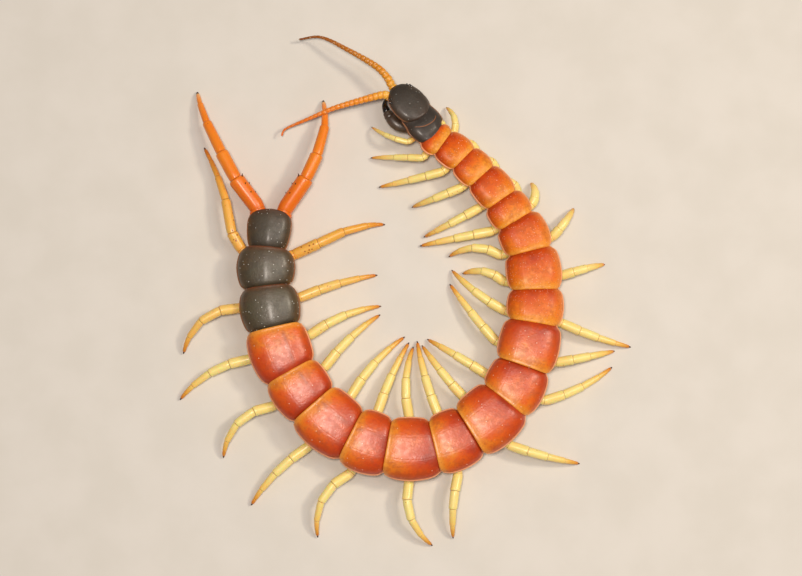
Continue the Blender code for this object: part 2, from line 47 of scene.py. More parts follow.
UP = Vector((0.0, 0.0, 1.0))
OUTLINE_MIDDLE = (1.0, 0.0)
TRUNK_LINE = [
    (-2.1, 42.4), (4.0, 36.0), (6.6, 32.3), (13.3, 27.2), (21.3, 18.3), (27.1, 7.3), (27.6, -7.9),
    (21.4, -24.1), (6.4, -33.4), (-11.0, -30.6), (-23.4, -17.3), (-28.1, 0.6), (-27.4, 16.6),
]
HEAD_LENGTH = 8.8
PLATES = [
    (4.3, 8.1), (3.2, 7.9), (5.4, 8.1), (5.3, 8.3), (6.5, 8.7), (5.4, 9.4), (7.1, 10.6),
    (8.2, 11.6), (7.0, 11.9), (9.3, 12.8), (8.2, 12.7), (9.7, 13.5), (8.1, 12.9), (9.9, 13.2),
    (8.0, 13.3), (10.1, 13.3), (8.4, 12.7), (9.8, 13.1), (8.8, 12.6), (8.1, 12.2), (7.7, 9.2),
]
LAST_PLATE = 21
LAST_FRONT_PLATE = 9
FIRST_DARK_PLATE = 19
# Past the end of any plate: a hip with this limit may sit anywhere along its plate.
ANYWHERE = 2.0
TRUNK_NODES = [
    "trunk_01", "trunk_02_03", "trunk_04_05", "trunk_06_07", "trunk_08_09", "trunk_10_11",
    "trunk_12_13", "trunk_14_15", "trunk_16_18", "trunk_19_20", "trunk_21",
]
HEIGHT_FOR_WIDTH = 0.5
HEIGHT_EXTRA = 0.2
BELLY_LEVEL = 2.0
RIM_LEVEL = 0.5
ARCH_POWERS = (0.8, 0.85)
ARCH_STEP = 0.03
UNDERSIDE = [(-0.5, 0.5), (-0.45, 0.3), (-0.31, 0.03), (0.0, 0.0), (0.31, 0.03), (0.45, 0.3), (0.5, 0.5)]
FRONT_ROLL = 15.0
ROLL_ENDS_AT_PLATE = 8
ROLL_GROWTH = 1.6
ROLL_AXIS_UP = 2.6
FRONT_LIFT = 0.9
PLATE_OUTLINE = [
    (0.0, 0.84, 0.92), (0.16, 0.95, 0.97), (0.5, 1.0, 1.0), (0.84, 0.965, 1.0), (1.0, 0.88, 0.975),
]
NECK_PLATE_OUTLINE = [
    (0.0, 0.96, 0.94), (0.3, 1.0, 0.98), (0.55, 1.0, 1.0), (0.85, 0.9, 0.98), (1.0, 0.78, 0.95),
]
DARK_PLATE_OUTLINE = [
    (0.0, 0.78, 0.92), (0.14, 0.92, 0.97), (0.5, 1.0, 1.0), (0.84, 0.93, 0.995), (1.0, 0.8, 0.96),
]
LAST_PLATE_OUTLINE = [
    (0.0, 0.82, 0.9), (0.2, 0.92, 0.98), (0.5, 0.99, 1.0), (0.85, 1.0, 0.97), (1.0, 0.94, 0.9),
]

# Rows for the legs, as in the solids: hip along its plate, foot and bow, or the place of every joint.
LEFT_LEGS = [
    (0.7, -6.3, 34.9, 0.7), (0.5, -6.5, 28.2, 0.0), (0.68, -4.7, 21.9, 0.2), (0.75, 2.3, 17.6, 0.3),
    (0.75, 4.8, 11.2, 0.3), (0.82, 4.0, 9.3, 0.0), (0.82, 10.1, 7.0, -1.6), (0.7, 13.0, 3.4, -1.2),
    (0.7, 10.7, 4.2, 0.8), (0.6, 10.3, 1.2, 0.3), (0.62, 5.5, -10.5, 0.0), (0.65, 4.4, -11.8, 0.4),
    (0.6, 3.4, -10.9, 0.5), (0.55, 2.6, -12.1, 1.2), (0.53, 1.7, -11.2, 0.5), (0.53, 0.8, -10.0, 1.0),
    (0.63, -4.4, -5.3, 0.7), (0.64, -4.2, -3.5, 1.0), (0.66, -5.0, 3.1, 0.5),
    (0.93, 0.47, [
        (-17.3, 9.4, 4.5), (-12.1, 11.9, 4.3), (-7.2, 13.4, 2.6), (-5.3, 13.8, 1.5), (-3.4, 13.9, 0.75),
    ]),
]
RIGHT_LEGS = [
    (0.66,), (1.15, 9.6, 39.1, -0.9), (0.8,), (0.8,), (0.8,),
    (0.78, 27.6, 22.8, -0.8), (0.79, 36.7, 17.4, -0.3), (0.68, 43.2, 5.4, 0.0), (0.86, 48.5, -12.2, -0.5),
    (0.7, 45.1, -13.0, -0.2), (0.53, 44.5, -16.4, -0.9), (0.54, 37.5, -36.7, -0.4), (0.67, 10.9, -52.3, -0.6),
    (0.53, 6.6, -53.8, -2.4), (0.66, -17.4, -52.1, -2.8), (0.53, -31.4, -45.4, -1.0),
    (0.55, -37.3, -35.5, -2.9), (0.56, -46.5, -23.3, -1.7), (0.63, -45.9, -13.6, -2.9),
    (0.97, 0.45, [
        (-35.6, 11.6, 4.1), (-37.0, 18.7, 3.7), (-38.8, 23.9, 2.4), (-40.4, 27.5, 1.4), (-41.9, 30.4, 0.75),
    ]),
]
TUCK_BACK = 6.2
TUCK_IN = 2.4
TUCK_BOW = 0.45
TUCK_DIP = -0.9
TUCK_SWEEP = 0.55
TUCK_ROOT_ALONG = 0.3
LEFT_TRAILING = [
    (-20.0, 23.1, 5.4), (-17.7, 28.1, 5.4), (-16.1, 34.4, 4.0), (-16.2, 38.1, 2.2), (-16.6, 40.6, 0.75),
]
RIGHT_TRAILING = [
    (-34.8, 23.0, 5.0), (-37.9, 28.7, 4.6), (-41.2, 35.4, 3.2), (-42.8, 39.7, 1.7), (-43.5, 42.4, 0.75),
]
LEG_JOINTS = (0.26, 0.52, 0.77, 0.90, 1.0)
LEG_PARTS = (1.0, 0.93, 0.74, 0.53, 0.36)
# In the straight form of a leg the hip and each of the five parts are one long.
LEG_FORM_END = 6.0
LEG_RADIUS = 1.05
TRAILING_PARTS = (1.0, 0.8, 0.68, 0.46, 0.3)
TRAILING_RADIUS = 1.8
TRAILING_SPINES = [
    (0.45, 60.0, 0.35), (0.72, 55.0, 0.4), (0.38, 15.0, 0.35), (0.66, 10.0, 0.4),
    (0.4, -35.0, 0.35), (0.7, -40.0, 0.4), (0.5, -95.0, 0.35), (0.78, -90.0, 0.4), (0.93, 35.0, 0.75),
]
SPINE_ROOT = 0.3
SPINE_LEAN = 0.7
# Leg lengths: the first pair, what the next five add, what all 20 add towards the tail, and the extra length
# of the last one.
FIRST_LEG = 9.5
LEG_GROWTH = 5.5
LEG_GROWTH_ENDS = 5
HIND_LEG_GROWTH = 2.5
LAST_WALKING_PAIR = 20
LAST_LEG_EXTRA = 3.0
LONGEST_LEG = 19.0
# The share of the thickest leg's radius that every leg has, whatever its length.
LEG_RADIUS_BASE = 0.55
ANKLE_LEVEL = 0.75
CLAW_REACH = 0.45
CLAW_SHARE = 0.35
LEAST_RISE = 0.7
MOST_RISE = 1.9
MOST_RISE_FOR_REACH = 0.2
SLACK_RISE = 0.4
BOW_STEPS = 40
HIP_OUT = 0.475
HIP_UP = 0.2
HIP_SWEEP = 1.45
HIP_ROOT_OUT = 0.24
HIP_ROOT_ALONG = 0.75
TRAILING_HIP_OUT = 0.29
TRAILING_HIP_UP = 0.42
TRAILING_HIP_LENGTH = 0.8
TRAILING_HIP_ROOT = 3.0

# The head, its feelers and its jaws, as in the solids.
HEAD_WIDTH = 7.7
HEAD_HEIGHT = 3.3
HEAD_LEVEL = 3.5
HEAD_CENTRED = 0.4
HEAD_OUTLINE = [
    (0.03, 0.16, 0.4), (0.07, 0.36, 0.55), (0.12, 0.55, 0.74), (0.24, 0.8, 0.9), (0.42, 0.96, 1.0),
    (0.6, 1.0, 1.0), (0.78, 0.94, 0.98), (0.88, 0.83, 0.95), (0.95, 0.68, 0.92), (1.0, 0.5, 0.9),
]
EYES = [(1.85, 24.0, 0.2), (2.15, 42.0, 0.22), (2.35, 16.0, 0.22), (2.8, 32.0, 0.26)]
SOCKETS = {-1: (0.7, -1.9), 1: (-0.3, 0.35)}
SOCKET_UP = 2.9
SOCKET_ROOT = (2.1, -0.6, 0.7)
SOCKET_ROOT_DROP = 0.8
RIGHT_ANTENNA_LINE = [
    (-3.1, 44.7, 6.3), (-5.5, 47.0, 6.2), (-11.2, 50.5, 5.5), (-17.0, 53.6, 3.8), (-21.8, 53.5, 2.2),
]
LEFT_ANTENNA_LINE = [
    (-4.4, 40.6, 6.4), (-8.8, 39.5, 6.0), (-14.4, 38.0, 5.1), (-19.7, 36.0, 3.8),
    (-24.4, 34.2, 2.3), (-25.4, 32.7, 1.9),
]
ANTENNA_RINGS = 24
FANG_LINE = [(8.65, 2.85), (6.4, 3.85), (3.8, 3.75), (1.5, 2.75), (0.55, 0.9)]
FANG_RADII = [
    (0.0, 1.05, 0.0), (0.22, 1.35, 0.0), (0.5, 1.2, 0.0), (0.66, 0.85, 0.0), (0.82, 0.55, 0.0),
    (1.0, 0.12, 0.0),
]
FANG_UP = 0.1
FANG_FLATNESS = 0.78
THROAT_PLATE = [(3.3, 1.4, 0.0), (4.4, 2.7, 0.0), (7.2, 3.1, 0.0), (8.65, 2.7, 0.0)]
THROAT_UP = -1.0
THROAT_HEIGHT = 2.2


# Lines and places on the animal.
def smooth_line(stations, steps=24):
    """Points close together on a smooth curve through the stations."""
    dots = [Vector(p) for p in stations]
    dots = [dots[0] * 2 - dots[1]] + dots + [dots[-1] * 2 - dots[-2]]
    line = []
    for a, b, c, d in zip(dots, dots[1:], dots[2:], dots[3:]):
        for step in range(steps):
            t = step / steps
            line.append(0.5 * (2 * b + (c - a) * t + (2 * a - 5 * b + 4 * c - d) * t ** 2
                               + (3 * b - a - 3 * c + d) * t ** 3))
    line.append(dots[-2])
    return line


class Way:
    """A line of close points that is read by the distance along it."""

    def __init__(self, points):
        self.points = points
        self.marks = [0.0]
        for a, b in zip(points, points[1:]):
            self.marks.append(self.marks[-1] + (b - a).length)
        self.length = self.marks[-1]

    def at(self, distance):
        index = min(max(bisect.bisect_left(self.marks, distance), 1), len(self.marks) - 1)
        span = self.marks[index] - self.marks[index - 1]
        return self.points[index - 1].lerp(self.points[index], (distance - self.marks[index - 1]) / span)

    def heading(self, distance, reach=0.5):
        return (self.at(distance + reach) - self.at(distance - reach)).normalized()


def profile(rows):
    """Reads rows of three numbers on a smooth curve, by the first number."""
    line = smooth_line(rows)
    places = [spot.x for spot in line]

    def read(share):
        index = min(max(bisect.bisect_left(places, share), 1), len(line) - 1)
        before, after = line[index - 1], line[index]
        return before.lerp(after, min(max((share - before.x) / (after.x - before.x), 0.0), 1.0))
    return read


def placed(point):
    height = point[2] if len(point) > 2 else 0.0
    return Vector((point[0] - OUTLINE_MIDDLE[0], point[1] - OUTLINE_MIDDLE[1], height))


TRUNK = Way(smooth_line([placed(p) for p in TRUNK_LINE]))
PLATE_SHAPE = profile(PLATE_OUTLINE)
OTHER_SHAPES = {
    1: profile(NECK_PLATE_OUTLINE), 19: profile(DARK_PLATE_OUTLINE), 20: profile(DARK_PLATE_OUTLINE),
    21: profile(LAST_PLATE_OUTLINE),
}
HEAD_SHAPE = profile(HEAD_OUTLINE)
FANG_SHAPE = profile(FANG_RADII)
THROAT_SHAPE = profile(THROAT_PLATE)
UNDER_SHAPE = Way(smooth_line([(out, up, 0.0) for out, up in UNDERSIDE]))


def plate_start(number):
    """Distance from the tip of the head to the front edge of a back plate."""
    return HEAD_LENGTH + sum(length for length, _ in PLATES[:number - 1])


TRUNK_END = plate_start(LAST_PLATE + 1)


def roll_at(distance):
    share = 1.0 - distance / plate_start(ROLL_ENDS_AT_PLATE)
    return math.radians(FRONT_ROLL) * min(1.0, ROLL_GROWTH * max(0.0, share))


def trunk_frame(distance):
    """Middle of the belly, right and up directions of the trunk at a distance from the tip of the head."""
    right = UP.cross(TRUNK.heading(distance)).normalized()
    roll = roll_at(distance)
    aside = right * math.cos(roll) - UP * math.sin(roll)
    upward = UP * math.cos(roll) + right * math.sin(roll)
    lift = FRONT_LIFT * roll / math.radians(FRONT_ROLL)
    belly = TRUNK.at(distance) + UP * (BELLY_LEVEL + lift + ROLL_AXIS_UP) - upward * ROLL_AXIS_UP
    return belly, aside, upward


def trunk_point(distance, out, up, edge=None):
    """A point beside the trunk: out to the right, up from the belly, in an edge's plane if one is given."""
    belly, aside, upward = trunk_frame(distance if edge is None else edge)
    if edge is not None:
        belly += TRUNK.heading(edge) * (distance - edge)
    return belly + aside * out + upward * up


def plate_height(width):
    return width * HEIGHT_FOR_WIDTH + HEIGHT_EXTRA


def arch_point(angle, width, height):
    """A point on the arched back at an angle from the right rim, as out and up."""
    cos, sin = math.cos(angle), max(0.0, math.sin(angle))
    out = math.copysign(abs(cos) ** ARCH_POWERS[0], cos) * width / 2
    return out, height * (RIM_LEVEL + (1 - RIM_LEVEL) * sin ** ARCH_POWERS[1])


def in_section(spot, wide, high, arch=None):
    """A point of a bar's round in a section of the body, as out and up: an arch over a flat underside."""
    angle, reach = math.atan2(spot.z, spot.x), math.hypot(spot.x, spot.z)
    if angle >= 0:
        out, up = arch_point(angle, wide, arch or high)
    else:
        place = UNDER_SHAPE.at((1.0 + angle / math.pi) * UNDER_SHAPE.length)
        out, up = place.x * wide, place.y * high
    return out * reach, high / 2 + (up - high / 2) * reach


def arch_out(angle, width, height, raised):
    """A point raised off the arched back, straight out from its surface."""
    out, up = arch_point(angle, width, height)
    before = arch_point(max(angle - ARCH_STEP, 0.0), width, height)
    after = arch_point(min(angle + ARCH_STEP, math.pi), width, height)
    run = Vector((after[1] - before[1], before[0] - after[0])).normalized()
    return out + run.x * raised, up + run.y * raised


def hip_along(number, side, furthest=ANYWHERE):
    share = min((LEFT_LEGS if side < 0 else RIGHT_LEGS)[number - 1][0], furthest)
    return plate_start(number) + PLATES[number - 1][0] * share


def hip_place(number, side, share_out, spare=0.0, furthest=ANYWHERE):
    width = PLATES[number - 1][1]
    out = side * (width * share_out + spare)
    return trunk_point(hip_along(number, side, furthest), out, plate_height(width) * HIP_UP)


def leg_length(number):
    growth = min(1.0, (number - 1) / LEG_GROWTH_ENDS)
    hind = (number / LAST_WALKING_PAIR) ** 2
    extra = LAST_LEG_EXTRA if number == LAST_WALKING_PAIR else 0.0
    return FIRST_LEG + LEG_GROWTH * growth + HIND_LEG_GROWTH * hind + extra


def leg_rise(number, reach):
    slack = max(0.0, leg_length(number) ** 2 - reach ** 2)
    return min(MOST_RISE, MOST_RISE_FOR_REACH * reach, max(LEAST_RISE, SLACK_RISE * math.sqrt(slack)))


def bowed(hip, foot, bow, rise):
    """Joint places of a leg with a flat bow seen from above and an arch seen from the side, its hip first."""
    over = Vector((foot.x - hip.x, foot.y - hip.y, 0.0))
    aside = Vector((-over.y, over.x, 0.0)).normalized()
    points = []
    for step in range(BOW_STEPS + 1):
        t = step / BOW_STEPS
        place = hip.lerp(Vector((foot.x, foot.y, ANKLE_LEVEL)), t)
        points.append(place + (aside * bow + UP * rise) * (4 * t * (1 - t)))
    way = Way(points)
    return [hip] + [way.at(share * way.length) for share in LEG_JOINTS]


def leg_corners(number, side, place, spare):
    hip = hip_place(number, side, HIP_OUT, spare)
    if len(place) == 1:
        inward = hip_place(number, side, HIP_OUT, spare - TUCK_IN) - hip
        foot = hip + TRUNK.heading(hip_along(number, side)) * TUCK_BACK + inward
        return bowed(hip, foot, TUCK_BOW, TUCK_DIP)
    if len(place) == 3:
        return [hip_place(number, side, place[1])] + [placed(joint) for joint in place[2]]
    foot = placed(place[1:3])
    return bowed(hip, foot, place[3], leg_rise(number, (foot - hip).to_2d().length))


def walking_leg(number, side, place):
    """Corners and radius of a walking leg, its hip set further out where it sweeps along the trunk."""
    radius = LEG_RADIUS * (LEG_RADIUS_BASE + (1 - LEG_RADIUS_BASE) * leg_length(number) / LONGEST_LEG)
    corners = leg_corners(number, side, place, 0.0)
    heading = (corners[1] - corners[0]).normalized()
    spare = HIP_SWEEP * radius * abs(heading.dot(TRUNK.heading(hip_along(number, side))))
    if len(place) == 1:
        spare *= TUCK_SWEEP
    return leg_corners(number, side, place, spare), radius


def head_lift(height_share):
    """How far the head's section stands above the trunk's: a lower section sits nearer the head's middle."""
    return HEAD_LEVEL - BELLY_LEVEL + HEAD_HEIGHT * (1 - height_share) * HEAD_CENTRED


# Modelling by operators. Edges that turn by more than this angle stay sharp.
SHARP_ANGLE = math.radians(62.0)


def only(thing):
    """Makes one object the active one and selects nothing else."""
    bpy.ops.object.select_all(action="DESELECT")
    thing.select_set(True)
    bpy.context.view_layer.objects.active = thing


def choose(thing, test, kind="VERT"):
    """In edit mode, selects only the corners, edges or faces that pass a test of place."""
    bpy.ops.mesh.select_mode(type=kind)
    bpy.ops.mesh.select_all(action="DESELECT")
    bpy.ops.object.mode_set(mode="OBJECT")
    corners = thing.data.vertices
    if kind == "VERT":
        for corner in corners:
            corner.select = test(corner.co)
    elif kind == "EDGE":
        for edge in thing.data.edges:
            edge.select = all(test(corners[index].co) for index in edge.vertices)
    else:
        for face in thing.data.polygons:
            face.select = test(face.center)
    bpy.ops.object.mode_set(mode="EDIT")


def drawn_bar(sides, rings):
    """A round bar: a disc drawn out along Y by extrusion through rings of (place, radius)."""
    bpy.ops.object.select_all(action="DESELECT")
    start, old = rings[0]
    bpy.ops.mesh.primitive_circle_add(vertices=sides, radius=old, fill_type="NGON",
                                      rotation=(math.radians(90), 0, 0))
    bar = bpy.context.object
    bpy.ops.object.transform_apply(location=True, rotation=True, scale=True)
    bpy.ops.object.mode_set(mode="EDIT")
    bpy.ops.mesh.select_mode(type="FACE")
    bpy.ops.mesh.select_all(action="SELECT")
    bpy.ops.transform.translate(value=(0, start, 0))
    for place, radius in rings[1:]:
        bpy.ops.mesh.extrude_region_move(TRANSFORM_OT_translate={"value": (0, place - start, 0)})
        bpy.ops.transform.resize(value=(radius / old, 1, radius / old), center_override=(0, place, 0))
        start, old = place, radius
    bpy.ops.object.mode_set(mode="OBJECT")
    return bar


def drawn_sheet(columns, rows):
    """A sheet two wide: a strip across drawn back along Y by extrusion through rows of (place, height)."""
    bpy.ops.object.select_all(action="DESELECT")
    bpy.ops.mesh.primitive_grid_add(x_subdivisions=columns, y_subdivisions=1, size=2)
    sheet = bpy.context.object
    bpy.ops.object.mode_set(mode="EDIT")
    for end, (place, height) in ((-1, rows[0]), (1, rows[1])):
        choose(sheet, lambda spot: abs(spot.y - end) < 0.001)
        bpy.ops.transform.translate(value=(0, place - end, height))
    last = rows[1]
    choose(sheet, lambda spot: abs(spot.y - last[0]) < 0.0001, "EDGE")
    for row in rows[2:]:
        bpy.ops.mesh.extrude_region_move(
            TRANSFORM_OT_translate={"value": (0, row[0] - last[0], row[1] - last[1])})
        last = row
    bpy.ops.object.mode_set(mode="OBJECT")
    return sheet


def modified(thing, kind, **settings):
    """Adds a modifier with its settings and applies it."""
    only(thing)
    made = thing.modifiers.new(kind.title(), kind)
    for name, value in settings.items():
        setattr(made, name, value)
    bpy.ops.object.modifier_apply(modifier=made.name)
    return thing


def softened(thing, levels=1):
    return modified(thing, "SUBSURF", levels=levels, render_levels=levels)


def copied(thing, name):
    """A copy with a mesh of its own."""
    copy = thing.copy()
    copy.data = thing.data.copy()
    copy.name = name
    bpy.context.scene.collection.objects.link(copy)
    return copy


def laid(thing, where, tone=0.0):
    """Moves each corner to its place on the animal, and keeps its place in the straight form and a tone."""
    data = thing.data
    flat = data.attributes.get("flat") or data.attributes.new("flat", "FLOAT_VECTOR", "POINT")
    for corner, kept in zip(data.vertices, flat.data):
        kept.vector = (corner.co.x, corner.co.y, tone)
        corner.co = where(corner.co) * MM
    data.update()
    return thing


def facing_out(thing):
    """Turns the faces of closed shells outwards."""
    only(thing)
    bpy.ops.object.mode_set(mode="EDIT")
    bpy.ops.mesh.select_all(action="SELECT")
    bpy.ops.mesh.normals_make_consistent(inside=False)
    bpy.ops.object.mode_set(mode="OBJECT")
    return thing


def joined(things, name):
    """Joins objects into one."""
    only(things[0])
    for thing in things:
        thing.select_set(True)
    bpy.ops.object.join()
    things[0].name = name
    return things[0]


def dropped(*things):
    """Deletes the straight forms once their copies are laid."""
    for thing in things:
        bpy.data.objects.remove(thing, do_unlink=True)


def shown(thing, name, paint, slot, *nodes):
    """Finishes a piece: its name, finish, smooth shading, the body it rides and the nodes it stands for."""
    thing.name = name
    thing.data.name = name
    thing.data.materials.clear()
    thing.data.materials.append(paint)
    only(thing)
    bpy.ops.object.shade_smooth_by_angle(angle=SHARP_ANGLE)
    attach(thing, "root")
    if nodes:
        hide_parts(*nodes)
    return thing


# Finishes. Shell is chitin, with an IOR near 1.55; the thin wax on it gives the coat. Light that gets into
# the flesh comes out red, from this depth in millimetres.
WAX_ROUGHNESS = 0.22
FLESH_COLOURS = (1.0, 0.35, 0.12)
FLESH_DEPTH = 0.7
BUMP_STRENGTH = 0.6
# Settings of the nodes that mix two colours, and of those that ease from one value to another.
COLOURS = {"data_type": "RGBA", "out": 2}
EASED = {"interpolation_type": "SMOOTHSTEP"}


def shade(code):
    """An sRGB hex colour as the linear colour that a shader takes."""
    parts = [int(code[place:place + 2], 16) / 255 for place in (1, 3, 5)]
    return [c / 12.92 if c <= 0.04045 else ((c + 0.055) / 1.055) ** 2.4 for c in parts] + [1.0]


def add(tree, kind, inputs=(), stops=None, out=0, **settings):
    """Adds a node with its settings and links, and gives one of its outputs. Each input, in order or by its
    number or name, is a value or the output that feeds it."""
    made = tree.nodes.new("ShaderNode" + kind)
    for name, value in settings.items():
        setattr(made, name, value)
    for socket, value in inputs.items() if isinstance(inputs, dict) else enumerate(inputs):
        if isinstance(value, bpy.types.NodeSocket):
            tree.links.new(value, made.inputs[socket])
        else:
            made.inputs[socket].default_value = value
    if stops:
        ramp = made.color_ramp
        ramp.elements[0].position, ramp.elements[1].position = stops[0][0], stops[-1][0]
        for place, _ in stops[1:-1]:
            ramp.elements.new(place)
        for element, (_, colour) in zip(ramp.elements, stops):
            element.color = shade(colour)
    return made.outputs[out]


def coarse(size):
    """Scale of a pattern whose grains are this many millimetres apart."""
    return 1 / (size * MM)


def finish(name, roughness, coat=0.0, under=0.0, ior=1.55):
    """A new finish: the material, its nodes, its shader, the place in the straight form as X, Y and tone, and
    the place on the object. Light gets under the surface by the share of under."""
    paint = bpy.data.materials.new(name)
    paint.use_nodes = True
    tree = paint.node_tree
    shader = tree.nodes["Principled BSDF"]
    shader.inputs["Roughness"].default_value = roughness
    shader.inputs["IOR"].default_value = ior
    shader.inputs["Coat Weight"].default_value = coat
    shader.inputs["Coat Roughness"].default_value = WAX_ROUGHNESS
    shader.inputs["Subsurface Weight"].default_value = under
    shader.inputs["Subsurface Radius"].default_value = FLESH_COLOURS
    shader.inputs["Subsurface Scale"].default_value = FLESH_DEPTH * MM
    form = add(tree, "SeparateXYZ", [add(tree, "Attribute", out="Vector", attribute_name="flat")])
    spot = add(tree, "TexCoord", out="Object")
    return paint, tree, shader, form.node.outputs, spot


def painted(tree, shader, colour, height, depth):
    """Gives a shader its colour, and a height pattern as a bump of that many millimetres."""
    tree.links.new(colour, shader.inputs["Base Color"])
    bump = add(tree, "Bump", {"Height": height, "Distance": depth * MM, "Strength": BUMP_STRENGTH})
    tree.links.new(bump, shader.inputs["Normal"])


def strewn(tree, spot, spacing, size, share, cluster):
    """Small round specks: how far apart, how wide, what share is there, and the size of their clusters."""
    cells = {"Vector": spot, "Scale": coarse(spacing), "Randomness": 1.0}
    away = add(tree, "TexVoronoi", cells, out="Distance")
    chance = add(tree, "SeparateColor", [away.node.outputs["Color"]])
    thick = add(tree, "TexNoise", {"Vector": spot, "Scale": coarse(cluster), "Detail": 1.0})
    bar = add(tree, "MapRange", [thick, 0.35, 0.7, 1.0 - share * 0.2, 1.0 - share * 2.0])
    there = add(tree, "Math", [chance, bar], operation="GREATER_THAN")
    half = size / 2 / spacing
    near = add(tree, "MapRange", [away, half * 0.6, half * 1.2, 1.0, 0.0])
    return add(tree, "Math", [near, there], operation="MULTIPLY")


# Lines of the back plates, by their place in the straight form: the sutures, the dark streak beside the
# right one, and the ring furrow of the neck plate as its place, bend, half width and depth.
SUTURE_AT = 0.1875
STREAK_AT = 0.13
STREAK_HALF = 0.07
RING_FURROW = (0.53, -1.3, 0.035, 0.06)
RING_REACH = 0.42
# Plates below the first of these tones have the streak, and the one above the second has the ring.
STREAK_TONE = 0.11
RING_TONE = 0.95
# The width of the blotches, the mottle and the pits of a plate, in millimetres.
BLOTCHES, MOTTLE, PITS = 3.4, 1.1, 0.45
# The raised rim has its colour from here outwards.
RIM_COLOUR = (0.84, 0.87)


